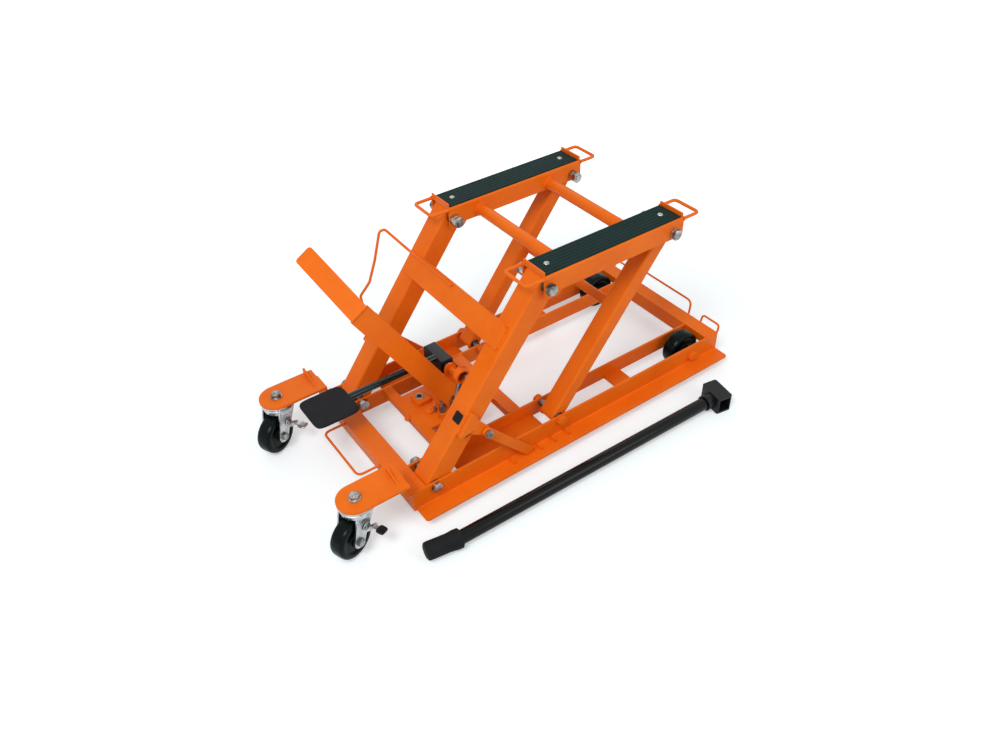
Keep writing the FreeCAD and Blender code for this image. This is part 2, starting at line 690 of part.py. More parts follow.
def bush(x, y0, y1, side_y0, side_y1, clearance):
    """Bush through an arm, with collars that run up to the walls beside it."""
    body = y_rod(x, 0, y0, y1, BUSH_RADIUS)
    collar = y_rod(x, 0, side_y0 + SIDE_CLEARANCE, side_y1 - SIDE_CLEARANCE, COLLAR_RADIUS)
    return fuse(body, collar).cut(y_rod(x, 0, side_y0, side_y1, BOLT_RADIUS + clearance))


SADDLE_GAP_Y = SADDLE_INNER_Y + SADDLE_WALL
SADDLE_GAP_OUTER_Y = SADDLE_OUTER_Y - SADDLE_WALL


def arm_bushes(y0, y1, upper_clearance):
    lower = bush(0, y0, y1, RAIL_GAP_Y, RAIL_GAP_OUTER_Y, RUNNING_CLEARANCE)
    upper = bush(ARM_LENGTH, y0, y1, SADDLE_GAP_Y, SADDLE_GAP_OUTER_Y, upper_clearance)
    return both(lower) + both(upper)


save("front_arm_far", on_arm(front_arm(), 0))
save("front_arm_near", on_arm(mirrored(front_arm()), 0))
save("rear_arm_far", on_arm(rear_arm(), PIVOT_SPACING))
save("rear_arm_near", on_arm(mirrored(rear_arm()), PIVOT_SPACING))
front_bushes = arm_bushes(FRONT_ARM_INNER_Y, FRONT_ARM_OUTER_Y, RUNNING_CLEARANCE)
rear_bushes = arm_bushes(REAR_ARM_INNER_Y, REAR_ARM_OUTER_Y, OPEN_PIVOT_CLEARANCE)
save("front_arm_bushes", *[on_arm(piece, 0) for piece in front_bushes])
save("rear_arm_bushes", *[on_arm(piece, PIVOT_SPACING) for piece in rear_bushes])

# Plate that ties the front arms, the bar that ties the rear arms, and the small rubber pad
CROSS_PLATE_START = 259.0
CROSS_PLATE_END = 303.0
CROSS_PLATE_THICKNESS = 5.0
CROSS_PLATE_HALF = 150.0
CROSS_PLATE_CORNER = 12.0
CROSS_BAR_ALONG = 226.0
CROSS_BAR_DROP = 4.5
CROSS_BAR_SIZE = 20.0
CROSS_BAR_BEND = 4.0
PAD_ALONG = 126.5
PAD_Y = -147.6
PAD_SIZE = 19.0
PAD_THICKNESS = 3.0
PAD_EDGE = 2.0


def cross_plate():
    half = CROSS_PLATE_HALF
    ring = [
        (CROSS_PLATE_START, -half, 0),
        (CROSS_PLATE_START, half, 0),
        (CROSS_PLATE_END, half, CROSS_PLATE_CORNER),
        (CROSS_PLATE_END, -half, CROSS_PLATE_CORNER),
    ]
    return flat_plate(ring, FRONT_ARM_TOP, FRONT_ARM_TOP + CROSS_PLATE_THICKNESS)


def cross_bar():
    half = CROSS_BAR_SIZE / 2
    x0, x1 = CROSS_BAR_ALONG - half, CROSS_BAR_ALONG + half
    ring = ring_of(x0, x1, -CROSS_BAR_DROP - half, half - CROSS_BAR_DROP, CROSS_BAR_BEND)
    return side_plate(ring, -REAR_ARM_INNER_Y, REAR_ARM_INNER_Y)


def arm_pad():
    half = PAD_SIZE / 2
    ring = ring_of(PAD_ALONG - half, PAD_ALONG + half, PAD_Y - half, PAD_Y + half, PAD_EDGE)
    return flat_plate(ring, FRONT_ARM_TOP, FRONT_ARM_TOP + PAD_THICKNESS)


save("front_cross_plate", on_arm(cross_plate(), 0))
save("rear_cross_bar", on_arm(cross_bar(), PIVOT_SPACING))
save("arm_pad", on_arm(arm_pad(), 0))

# Lock brackets on the front arms and the struts that hang from them
LOCK_ALONG = 122.0
LOCK_DROP = 35.5
LOCK_PLATE_Y = 165.6
LOCK_PLATE = 4.0
LOCK_EYE = 8.0
LOCK_ROOT_START = 98.0
LOCK_ROOT_END = 146.0
LOCK_ROOT_LOW = 2.0
LOCK_ROOT_HIGH = 13.0
LOCK_PIN_RADIUS = 4.0
LOCK_PIN_FLATS = 13.0
LOCK_PIN_HEAD = 5.0
STRUT_GAP = 0.5
STRUT_THICKNESS = 10.0
STRUT_HALF_WIDTH = 8.0
STRUT_EYE = 8.3
STRUT_FOOT_Z = 24.0
STRUT_FOOT_X = 190.0
STRUT_FOOT_HALF = 7.0
STRUT_FOOT_HEIGHT = 10.0


def lock_bracket():
    """Root on the arm's outer face, stepping over the rail to a plate that drops to the strut's pivot."""
    outer = LOCK_PLATE_Y + LOCK_PLATE
    root = side_plate(
        [
            (LOCK_ROOT_START, LOCK_ROOT_LOW, 0),
            (LOCK_ROOT_END, LOCK_ROOT_LOW, 0),
            (LOCK_ROOT_END, LOCK_ROOT_HIGH, LOCK_PLATE),
            (LOCK_ROOT_START, LOCK_ROOT_HIGH, LOCK_PLATE),
        ],
        FRONT_ARM_OUTER_Y,
        outer,
    )
    plate = side_plate(
        [
            (LOCK_ROOT_START, LOCK_ROOT_HIGH, LOCK_PLATE),
            (LOCK_ROOT_START, LOCK_ROOT_LOW, 0),
            (LOCK_ALONG - LOCK_EYE, -LOCK_DROP, 0),
            (LOCK_ALONG + LOCK_EYE, -LOCK_DROP, 0),
            (LOCK_ROOT_END, LOCK_ROOT_LOW, 0),
            (LOCK_ROOT_END, LOCK_ROOT_HIGH, LOCK_PLATE),
        ],
        LOCK_PLATE_Y,
        outer,
    )
    eye = y_rod(LOCK_ALONG, -LOCK_DROP, LOCK_PLATE_Y, outer, LOCK_EYE)
    shape = fuse(root, plate, eye)
    return shape.cut(y_rod(LOCK_ALONG, -LOCK_DROP, 0, outer + OVERRUN, LOCK_PIN_RADIUS + WELD_CLEARANCE))


def lock_pin():
    y0 = LOCK_PLATE_Y
    y1 = LOCK_PLATE_Y + LOCK_PLATE + STRUT_GAP + STRUT_THICKNESS + SIDE_CLEARANCE
    shank = y_rod(LOCK_ALONG, -LOCK_DROP, y0, y1 + LOCK_PIN_HEAD / 2, LOCK_PIN_RADIUS)
    return fuse(shank, y_hex(LOCK_ALONG, -LOCK_DROP, y1, y1 + LOCK_PIN_HEAD, LOCK_PIN_FLATS))


def lock_pivot():
    """Where the strut's pivot stands, in X and Z."""
    x = LOCK_ALONG * math.cos(ANGLE) + LOCK_DROP * math.sin(ANGLE)
    z = PIVOT_HEIGHT + LOCK_ALONG * math.sin(ANGLE) - LOCK_DROP * math.cos(ANGLE)
    return x, z


def lock_strut():
    """Bar from the pivot to a flat foot over the rail's flange."""
    x, z = lock_pivot()
    y0 = LOCK_PLATE_Y + LOCK_PLATE + STRUT_GAP
    y1 = y0 + STRUT_THICKNESS
    run = Vector(STRUT_FOOT_X - x, 0, STRUT_FOOT_Z - z).normalize()
    wide = Vector(-run.z, 0, run.x) * STRUT_HALF_WIDTH
    bar = side_plate(
        [
            (x - wide.x, z - wide.z, 0),
            (x + wide.x, z + wide.z, 0),
            (STRUT_FOOT_X + STRUT_FOOT_HALF, STRUT_FOOT_Z + STRUT_FOOT_HEIGHT, 0),
            (STRUT_FOOT_X + STRUT_FOOT_HALF, STRUT_FOOT_Z, 0),
            (STRUT_FOOT_X - STRUT_FOOT_HALF, STRUT_FOOT_Z, 0),
            (STRUT_FOOT_X - STRUT_FOOT_HALF, STRUT_FOOT_Z + STRUT_FOOT_HEIGHT, 0),
        ],
        y0,
        y1,
    )
    shape = fuse(bar, y_rod(x, z, y0, y1, STRUT_EYE))
    return shape.cut(y_rod(x, z, y0 - OVERRUN, y1 + OVERRUN, LOCK_PIN_RADIUS + RUNNING_CLEARANCE))


save("lock_brackets", *[on_arm(piece, 0) for piece in both(lock_bracket())])
save("lock_strut_far", lock_strut())
save("lock_strut_near", mirrored(lock_strut()))

# Release rod: along the top of the cross plate, out over the far arm and down to the far lock
ROD_RADIUS = 2.5
ROD_BEND = 7.0
ROD_OUTER_Y = 178.0
ROD_START_Y = 8.0
ROD_FAR_Y = 152.0
ROD_END_Y = 168.0
ROD_LIFT = 0.4
ROD_TOP_ALONG = 298.0
ROD_POINTS = ((313.7, 76.2), (306.2, 84.3), (253.0, 64.7), (210.2, 53.0), (179.1, 57.3))
ROD_FOOT_ALONG = 128.6


def release_rod():
    rest = FRONT_ARM_TOP + CROSS_PLATE_THICKNESS + ROD_RADIUS + ROD_LIFT
    points = [Vector(ROD_TOP_ALONG, ROD_START_Y, rest), Vector(ROD_TOP_ALONG, ROD_FAR_Y, rest)]
    points += [Vector(along, ROD_OUTER_Y, out) for along, out in ROD_POINTS]
    points.append(Vector(ROD_FOOT_ALONG, ROD_END_Y, LOCK_ROOT_HIGH + ROD_RADIUS))
    return bent_wire(points, ROD_BEND, ROD_RADIUS)


save("release_rod", on_arm(release_rod(), 0))

# Platform: two saddles joined by tubes, rubber pads, end lips, loops and the upper pivot bolts
TONGUE_DROP = 20.5
TONGUE_WIDTH = 28.0
TONGUE_CORNER = 8.0
SADDLE_BEND = 3.0
SADDLE_INNER_BEND = 1.0
CROSS_TUBE_RADIUS = 11.0
CROSS_TUBE_BORE = 8.5
CROSS_TUBES_FROM_PIVOT = (59.0, 217.0)
MAT_MARGIN = 4.7
MAT_SIDE_MARGIN = 3.5
MAT_BASE = 1.6
MAT_RIB = 0.9
MAT_RIB_COUNT = 9
MAT_RIB_SHARE = 0.55
RIVETS_FROM_PIVOT = (16.5, 264.7)
RIVET_RADIUS = 3.0
RIVET_HEAD = 5.0
RIVET_DOME = 1.6
LIP_HEIGHT = 8.0
LIP_THICKNESS = 3.0
TOP_LOOP_REACH = 36.0
TOP_LOOP_DROP = 3.0
TOP_LOOP_RADIUS = 3.0
TOP_LOOP_BEND = 8.0
UPPER_WASHER = 3.0
UPPER_BOSS = 9.2
BOSS_RADIUS = 10.0

UPPER_X = ARM_LENGTH * math.cos(ANGLE)
UPPER_Z = PIVOT_HEIGHT + ARM_LENGTH * math.sin(ANGLE)
DECK_X = (UPPER_X - SADDLE_FRONT, UPPER_X + PIVOT_SPACING + SADDLE_REAR)
DECK_Z = UPPER_Z + SADDLE_TOP
UPPER_PIVOTS_X = (UPPER_X, UPPER_X + PIVOT_SPACING)


def saddle():
    x0, x1 = DECK_X
    y0, y1 = SADDLE_INNER_Y, SADDLE_OUTER_Y
    skirt, tongue = UPPER_Z - SADDLE_SKIRT, UPPER_Z - TONGUE_DROP
    section = [
        (y0, tongue, 0),
        (SADDLE_GAP_Y, tongue, 0),
        (SADDLE_GAP_Y, DECK_Z - SADDLE_WALL, SADDLE_INNER_BEND),
        (SADDLE_GAP_OUTER_Y, DECK_Z - SADDLE_WALL, SADDLE_INNER_BEND),
        (SADDLE_GAP_OUTER_Y, tongue, 0),
        (y1, tongue, 0),
        (y1, DECK_Z, SADDLE_BEND),
        (y0, DECK_Z, SADDLE_BEND),
    ]
    outline = [
        (x0, DECK_Z, 0),
        (x0, tongue, TONGUE_CORNER),
        (x0 + TONGUE_WIDTH, tongue, TONGUE_CORNER),
        (x0 + TONGUE_WIDTH + TONGUE_CORNER, skirt, 0),
        (x1, skirt, TONGUE_CORNER / 2),
        (x1, DECK_Z, 0),
    ]
    shape = long_section(section, x0, x1).common(side_plate(outline, y0, y1))
    for x in UPPER_PIVOTS_X:
        shape = shape.cut(y_rod(x, UPPER_Z, y0 - OVERRUN, y1 + OVERRUN, BOLT_RADIUS + HOLE_CLEARANCE))
    for x, y in rivet_places():
        shape = shape.cut(z_rod(x, y, UPPER_Z, DECK_Z + OVERRUN, RIVET_RADIUS + WELD_CLEARANCE))
    return shape


def rivet_places():
    y = (SADDLE_INNER_Y + SADDLE_OUTER_Y) / 2
    return [(UPPER_X + ahead, y) for ahead in RIVETS_FROM_PIVOT]


def mat():
    """Rubber mat with ribs along it."""
    x0, x1 = DECK_X[0] + MAT_MARGIN, DECK_X[1] - MAT_MARGIN
    y0, y1 = SADDLE_INNER_Y + MAT_SIDE_MARGIN, SADDLE_OUTER_Y - MAT_SIDE_MARGIN
    pitch = (y1 - y0) / MAT_RIB_COUNT
    inset = pitch * (1 - MAT_RIB_SHARE) / 2
    starts = [y0 + rib * pitch for rib in range(MAT_RIB_COUNT)]
    top = DECK_Z + MAT_BASE + MAT_RIB
    ribs = [box(x0, x1, y + inset, y + pitch - inset, DECK_Z, top) for y in starts]
    shape = fuse(box(x0, x1, y0, y1, DECK_Z, DECK_Z + MAT_BASE), *ribs)
    for x, y in rivet_places():
        shape = shape.cut(z_rod(x, y, DECK_Z - OVERRUN, top + OVERRUN, RIVET_RADIUS + WELD_CLEARANCE))
    return shape


def mat_rivet(x, y):
    top = DECK_Z + MAT_BASE + MAT_RIB
    shank = z_rod(x, y, DECK_Z - SADDLE_WALL, top + RIVET_DOME / 2, RIVET_RADIUS)
    sphere_radius = (RIVET_HEAD ** 2 + RIVET_DOME ** 2) / (2 * RIVET_DOME)
    ball = Part.makeSphere(sphere_radius, Vector(x, y, top + RIVET_DOME - sphere_radius))
    cap = z_rod(x, y, top, top + RIVET_HEAD, RIVET_HEAD)
    return fuse(shank, ball.common(cap))


def end_lips():
    y0, y1 = SADDLE_INNER_Y + SADDLE_BEND, SADDLE_OUTER_Y - SADDLE_BEND
    front = box(DECK_X[0], DECK_X[0] + LIP_THICKNESS, y0, y1, DECK_Z, DECK_Z + LIP_HEIGHT)
    rear = box(DECK_X[1] - LIP_THICKNESS, DECK_X[1], y0, y1, DECK_Z, DECK_Z + LIP_HEIGHT)
    return both(front) + both(rear)


def top_loop(root, reach):
    """Wire loop between the ends of a saddle's two walls; reach is signed along X."""
    y0, y1 = SADDLE_INNER_Y + SADDLE_WALL / 2, SADDLE_OUTER_Y - SADDLE_WALL / 2
    z = DECK_Z - TOP_LOOP_DROP
    tip = root + reach
    points = [Vector(root, y0, z), Vector(tip, y0, z), Vector(tip, y1, z), Vector(root, y1, z)]
    return bent_wire(points, TOP_LOOP_BEND, TOP_LOOP_RADIUS)


def cross_tube(x):
    y = SADDLE_INNER_Y
    return y_pipe(x, UPPER_Z, -y, y, CROSS_TUBE_RADIUS, CROSS_TUBE_BORE)


def upper_bolt(x):
    """Pivot bolt with a washer under its head and a boss inside the saddle."""
    head = SADDLE_OUTER_Y + UPPER_WASHER
    inner = SADDLE_INNER_Y - UPPER_BOSS
    shank = y_rod(x, UPPER_Z, inner - NUT_LENGTH - OVERRUN, head + BOLT_HEAD / 2, BOLT_RADIUS)
    washer = y_rod(x, UPPER_Z, SADDLE_OUTER_Y, head, BOSS_RADIUS)
    boss = y_rod(x, UPPER_Z, inner, SADDLE_INNER_Y, BOSS_RADIUS)
    return fuse(shank, washer, boss, y_hex(x, UPPER_Z, head, head + BOLT_HEAD, BOLT_FLATS))


save("saddle_far", saddle())
save("saddle_near", mirrored(saddle()))
save("mat_far", mat())
save("mat_near", mirrored(mat()))
save("mat_rivets", *[piece for x, y in rivet_places() for piece in both(mat_rivet(x, y))])
top_loops = both(top_loop(DECK_X[0], -TOP_LOOP_REACH)) + both(top_loop(DECK_X[1], TOP_LOOP_REACH))
save("saddle_ends", *end_lips(), *top_loops)
save("cross_tubes", *[cross_tube(UPPER_X + ahead) for ahead in CROSS_TUBES_FROM_PIVOT])
save("upper_pivot_bolts", *[piece for x in UPPER_PIVOTS_X for piece in both(upper_bolt(x))])
upper_nuts = [bolt_nut(x, UPPER_Z, SADDLE_INNER_Y - UPPER_BOSS) for x in UPPER_PIVOTS_X]
save("upper_pivot_nuts", *[side for nut in upper_nuts for side in both(nut)])

# Hydraulic unit: bed plate, pump body, lever bracket, valve and its uprights
BED_THICKNESS = 5.0
BED_Y = (-46.0, 62.0)
BODY_X = (78.0, 190.0)
BODY_DEPTH = 26.0
BODY_MARGIN = 4.0
BODY_CORNER = 6.0
LEVER_X = 124.0
LEVER_Z = 93.0
LEVER_Y = (-36.0, -30.0)
LEVER_HALF_WIDTH = 19.0
LEVER_END_Z = 352.0
LEVER_END_X = -30.8
LEVER_BRACKET = 5.0
LEVER_BRACKET_HALF = 16.0
LEVER_GAP = 0.5
PLUNGER_X = 98.0
PLUNGER_RADIUS = 6.0
PLUNGER_TOP = 89.2
PLUNGER_DEPTH = 32.0
BARREL_RADIUS = 9.5
BARREL_HEIGHT = 13.0
SHAFT_X = 160.0
SHAFT_Z = 100.0
SHAFT_RADIUS = 6.0
SHAFT_START_Y = -30.0
UPRIGHTS_Y = (-14.0, 32.0)
UPRIGHT_THICKNESS = 5.0
UPRIGHT_HALF = 12.0
HUB_Y = (44.0, 108.0)
HUB_HALF = 14.0
HUB_CORNER = 4.0
RING_Y = -26.0
RING_THICKNESS = 5.0
RING_RADIUS = 9.5
VALVE_Y = 54.0
VALVE_X = 176.0
VALVE_RADIUS = 5.0
VALVE_HEIGHT = 20.0
VALVE_FLATS = 17.0
VALVE_NUT = 6.0

BED_TOP = RAIL_TOP
BED_BOTTOM = RAIL_TOP - BED_THICKNESS
LEVER_MIDDLE_Y = (LEVER_Y[0] + LEVER_Y[1]) / 2


def bed():
    x0, x1 = JACK_MEMBER_X + JACK_MEMBER_DEPTH, MID_MEMBER_X
    plate = box(x0, x1, BED_Y[0], BED_Y[1], BED_BOTTOM, BED_TOP)
    y0, y1 = LEVER_Y[1] + LEVER_GAP, LEVER_Y[1] + LEVER_GAP + LEVER_BRACKET
    half = LEVER_BRACKET_HALF
    ear = box(LEVER_X - half, LEVER_X + half, y0, y1, BED_BOTTOM, LEVER_Z)
    ear = fuse(ear, y_rod(LEVER_X, LEVER_Z, y0, y1, half))
    ear = ear.cut(y_rod(LEVER_X, LEVER_Z, y0 - OVERRUN, y1 + OVERRUN, BOLT_RADIUS + HOLE_CLEARANCE))
    shape = fuse(plate, ear)
    for y in UPRIGHTS_Y:
        y1 = y + UPRIGHT_THICKNESS
        post = box(SHAFT_X - UPRIGHT_HALF, SHAFT_X + UPRIGHT_HALF, y, y1, BED_BOTTOM, SHAFT_Z)
        shape = fuse(shape, post, y_rod(SHAFT_X, SHAFT_Z, y, y1, UPRIGHT_HALF))
    shape = shape.cut(y_rod(SHAFT_X, SHAFT_Z, BED_Y[0], BED_Y[1], SHAFT_RADIUS + RUNNING_CLEARANCE))
    hole = BARREL_RADIUS + WELD_CLEARANCE
    return shape.cut(z_rod(PLUNGER_X, LEVER_MIDDLE_Y, BED_BOTTOM - OVERRUN, BED_TOP + OVERRUN, hole))


def pump_body():
    """Block under the bed with the pump barrel that stands up through it."""
    y0, y1 = BED_Y[0] + BODY_MARGIN, BED_Y[1] - BODY_MARGIN
    x, y = PLUNGER_X, LEVER_MIDDLE_Y
    ring = ring_of(BODY_X[0], BODY_X[1], y0, y1, BODY_CORNER)
    block = flat_plate(ring, BED_BOTTOM - BODY_DEPTH, BED_BOTTOM)
    barrel = z_rod(x, y, BED_BOTTOM - BODY_CORNER, BED_TOP + BARREL_HEIGHT, BARREL_RADIUS)
    bore_bottom = PLUNGER_TOP - PLUNGER_DEPTH - BARREL_HEIGHT
    bore = z_rod(x, y, bore_bottom, PLUNGER_TOP, PLUNGER_RADIUS + RUNNING_CLEARANCE)
    return fuse(block, barrel).cut(bore)


def release_valve():
    """Valve stem under the release pedal's hub."""
    base = Vector(VALVE_X, VALVE_Y, BED_TOP)
    nut = hex_bar(base, base + Vector(0, 0, VALVE_NUT), VALVE_FLATS)
    return fuse(nut, z_rod(VALVE_X, VALVE_Y, BED_TOP, BED_TOP + VALVE_HEIGHT, VALVE_RADIUS))


def lever_bolt():
    y0 = LEVER_Y[1] + LEVER_GAP + LEVER_BRACKET
    y1 = LEVER_Y[0] - LEVER_GAP
    shank = y_rod(LEVER_X, LEVER_Z, y1 - BOLT_HEAD / 2, y0 + NUT_LENGTH / 2, BOLT_RADIUS)
    head = y_hex(LEVER_X, LEVER_Z, y1 - BOLT_HEAD, y1, BOLT_FLATS)
    return fuse(shank, head, y_hex(LEVER_X, LEVER_Z, y0, y0 + NUT_LENGTH, BOLT_FLATS))


save("jack_bed", bed())
save("pump_body", pump_body())

# Pump lever: a flat bar up to a fold, and a tread bent across from it
TREAD_END_Y = 100.0
TREAD_RISE = 52.0
TREAD_FORWARD = 22.0
TREAD_HALF_WIDTH = 17.0
TREAD_THICKNESS = 6.0


def pump_lever():
    y0, y1 = LEVER_Y
    pivot = Vector(LEVER_X, y0, LEVER_Z)
    fold = Vector(LEVER_END_X, y0, LEVER_END_Z)
    run = (fold - pivot).normalize()
    wide = Vector(-run.z, 0, run.x)
    a, b = pivot + wide * LEVER_HALF_WIDTH, pivot - wide * LEVER_HALF_WIDTH
    c, d = fold - wide * LEVER_HALF_WIDTH, fold + wide * LEVER_HALF_WIDTH
    bar = side_plate([(p.x, p.z, 0) for p in (a, b, c, d)], y0, y1)
    eye = y_rod(LEVER_X, LEVER_Z, y0, y1, LEVER_HALF_WIDTH)
    end = Vector(fold.x - TREAD_FORWARD, TREAD_END_Y, fold.z + TREAD_RISE)
    across = end - fold
    thick = across.cross(wide).normalize() * TREAD_THICKNESS
    half = wide * TREAD_HALF_WIDTH
    ring = [
        (fold + half, 0),
        (fold - half, 0),
        (fold - half + across, TREAD_THICKNESS),
        (fold + half + across, TREAD_THICKNESS),
    ]
    tread = rounded_face(ring).extrude(thick)
    bore = y_rod(LEVER_X, LEVER_Z, y0 - OVERRUN, y1 + OVERRUN, BOLT_RADIUS + RUNNING_CLEARANCE)
    return fuse(bar, eye, tread).cut(bore)


def plunger():
    return z_rod(PLUNGER_X, LEVER_MIDDLE_Y, PLUNGER_TOP - PLUNGER_DEPTH, PLUNGER_TOP, PLUNGER_RADIUS)


save("pump_lever", pump_lever())
save("pump_plunger", plunger())

# Release pedal: shaft and hub, a bar forward from the hub, and a rounded pad
PEDAL_X = (-125.0, -38.0)
PEDAL_Y = (12.0, 97.0)
PEDAL_Z = 117.0
PEDAL_THICKNESS = 6.0
PEDAL_CORNER = 14.0
PEDAL_BAR_Y = 68.0
PEDAL_BAR_SIZE = 13.0
PEDAL_BAR_BEND = 2.0
PEDAL_BAR_OVERLAP = 20.0


def release_shaft():
    shaft = y_rod(SHAFT_X, SHAFT_Z, SHAFT_START_Y, HUB_Y[0] + HUB_HALF, SHAFT_RADIUS)
    return fuse(shaft, y_rod(SHAFT_X, SHAFT_Z, RING_Y, RING_Y + RING_THICKNESS, RING_RADIUS))


def release_hub():
    half = HUB_HALF
    x, z = SHAFT_X, SHAFT_Z
    ring = ring_of(x - half, x + half, z - half, z + half, HUB_CORNER)
    block = side_plate(ring, HUB_Y[0], HUB_Y[1])
    return block.cut(y_rod(x, z, HUB_Y[0] - OVERRUN, HUB_Y[0] + half, SHAFT_RADIUS + WELD_CLEARANCE))


def release_bar():
    half = PEDAL_BAR_SIZE / 2
    y0, y1 = PEDAL_BAR_Y - half, PEDAL_BAR_Y + half
    ring = ring_of(y0, y1, PEDAL_Z - PEDAL_BAR_SIZE, PEDAL_Z, PEDAL_BAR_BEND)
    return long_section(ring, PEDAL_X[1] - PEDAL_BAR_OVERLAP, SHAFT_X - HUB_HALF)


def release_pad():
    ring = ring_of(*PEDAL_X, *PEDAL_Y, PEDAL_CORNER)
    return flat_plate(ring, PEDAL_Z, PEDAL_Z + PEDAL_THICKNESS)


save("release_shaft", release_shaft())
save("release_arm", release_hub(), release_bar())
save("release_pad", release_pad())

# Ram beside the near rail: it stands on a pin in the inner rail and lifts a pin in the front arm
RAM_BASE_X = 70.0
RAM_BASE_Z = 38.0
RAM_Y = -88.0
RAM_ALONG = 180.0
RAM_NORMAL = -5.0
RAM_RADIUS = 10.0
RAM_EYE = 9.0
RAM_EYE_HALF = 6.0
RAM_PIN = 5.0
RAM_ROD = 5.5
RAM_NECK = 5.0
RAM_SHOULDER = 11.0
RAM_BORE_START = 14.0
RAM_BARREL_END = 98.0
RAM_ROD_START = 74.0
RAM_TOP_EYE = 13.0
RAM_TOP_BORE = 9.8
RAM_EYE_PLAY = 1.848
RAM_LEAN_PLAY = 0.813
RAM_RISE = PIVOT_HEIGHT + RAM_ALONG * math.sin(ANGLE) + RAM_NORMAL * math.cos(ANGLE) - RAM_BASE_Z
RAM_RUN = RAM_ALONG * math.cos(ANGLE) - RAM_NORMAL * math.sin(ANGLE) - RAM_BASE_X
RAM_LENGTH = math.hypot(RAM_RUN, RAM_RISE) - RAM_EYE_PLAY
RAM_ANGLE = math.degrees(math.atan2(RAM_RISE, RAM_RUN)) + RAM_LEAN_PLAY


def on_ram(shape):
    """A piece modelled along X from the ram's lower pin."""
    return placed(shape, Vector(RAM_BASE_X, RAM_Y, RAM_BASE_Z), Rotation(Vector(0, 1, 0), -RAM_ANGLE))


def x_rod(x0, x1, radius):
    return rod(Vector(x0, 0, 0), Vector(x1, 0, 0), radius)


def ram_barrel():
    half = RAM_EYE_HALF
    eye = y_rod(0, 0, -half, half, RAM_EYE)
    neck = x_rod(RAM_PIN, RAM_BORE_START, RAM_NECK)
    barrel = x_rod(RAM_SHOULDER, RAM_BARREL_END, RAM_RADIUS)
    shape = fuse(eye, neck, barrel)
    shape = shape.cut(x_rod(RAM_BORE_START, RAM_BARREL_END + OVERRUN, RAM_ROD + RUNNING_CLEARANCE))
    beyond = RAM_RADIUS + OVERRUN
    return shape.cut(y_rod(0, 0, -beyond, beyond, RAM_PIN + RUNNING_CLEARANCE))


def ram_rod():
    half = RAM_EYE_HALF
    shaft = x_rod(RAM_ROD_START, RAM_LENGTH, RAM_ROD)
    eye = y_rod(RAM_LENGTH, 0, -half, half, RAM_TOP_EYE)
    return fuse(shaft, eye).cut(y_rod(RAM_LENGTH, 0, -half - OVERRUN, half + OVERRUN, RAM_TOP_BORE))


def ram_base_pin():
    end = RAM_Y + RAM_EYE_HALF + SIDE_CLEARANCE
    shank = y_rod(RAM_BASE_X, RAM_BASE_Z, -RAIL_INNER_Y, end + RAM_PIN / 2, RAM_PIN)
    return fuse(shank, y_rod(RAM_BASE_X, RAM_BASE_Z, end, end + RAM_PIN / 2, RAM_EYE))


def ram_lift_pin():
    """Pin through the near front arm's inner wall, with a collar outside the rod's eye."""
    end = RAM_Y + RAM_EYE_HALF + SIDE_CLEARANCE
    shank = y_rod(RAM_ALONG, RAM_NORMAL, -FRONT_ARM_INNER_Y, end + RAM_PIN / 2, RAM_PIN)
    return fuse(shank, y_rod(RAM_ALONG, RAM_NORMAL, end, end + RAM_PIN / 2, RAM_TOP_EYE))


save("ram_barrel", on_ram(ram_barrel()))
save("ram_rod", on_ram(ram_rod()))
save("jack_fittings", release_valve(), lever_bolt(), ram_base_pin())
save("front_arm_pins", *[on_arm(piece, 0) for piece in both(lock_pin()) + [ram_lift_pin()]])

# Tow handle on the floor beside the lift: grip, tube and a square claw
GRIP_START_X = -78.0
GRIP_START_Y = -248.0
GRIP_END_X = -14.0
GRIP_END_Y = -258.0
TUBE_END_X = 556.0
TUBE_END_Y = -269.0
GRIP_START = Vector(GRIP_START_X, GRIP_START_Y, 0)
GRIP_END = Vector(GRIP_END_X, GRIP_END_Y, 0)
TUBE_END = Vector(TUBE_END_X, TUBE_END_Y, 0)
GRIP_RADIUS = 17.5
TUBE_RADIUS = 12.5
TUBE_WALL = 2.5
GRIP_SOCKET = 20.0
CLAW_LENGTH = 54.0
CLAW_WIDTH = 32.0
CLAW_HEIGHT = 36.0
CLAW_WALL = 4.0
CLAW_CORNER = 4.0
CLAW_TURN = -10.0
COLLAR_LENGTH = 14.0
COLLAR_WALL = 3.0


def handle_tube():
    lift = Vector(0, 0, GRIP_RADIUS)
    back = (GRIP_END - TUBE_END).normalize()
    start = GRIP_END + back * GRIP_SOCKET
    return pipe(start + lift, TUBE_END + lift, TUBE_RADIUS, TUBE_RADIUS - TUBE_WALL)


save("tow_tube", handle_tube())


def handle_grip():
    """Grip with the socket that the tube's end sits in."""
    lift = Vector(0, 0, GRIP_RADIUS)
    back = (GRIP_END - TUBE_END).normalize()
    mouth = GRIP_END - back * TUBE_RADIUS + lift
    socket = rod(mouth, GRIP_END + back * GRIP_SOCKET + lift, TUBE_RADIUS + WELD_CLEARANCE)
    return rod(GRIP_START + lift, GRIP_END + lift, GRIP_RADIUS).cut(socket)


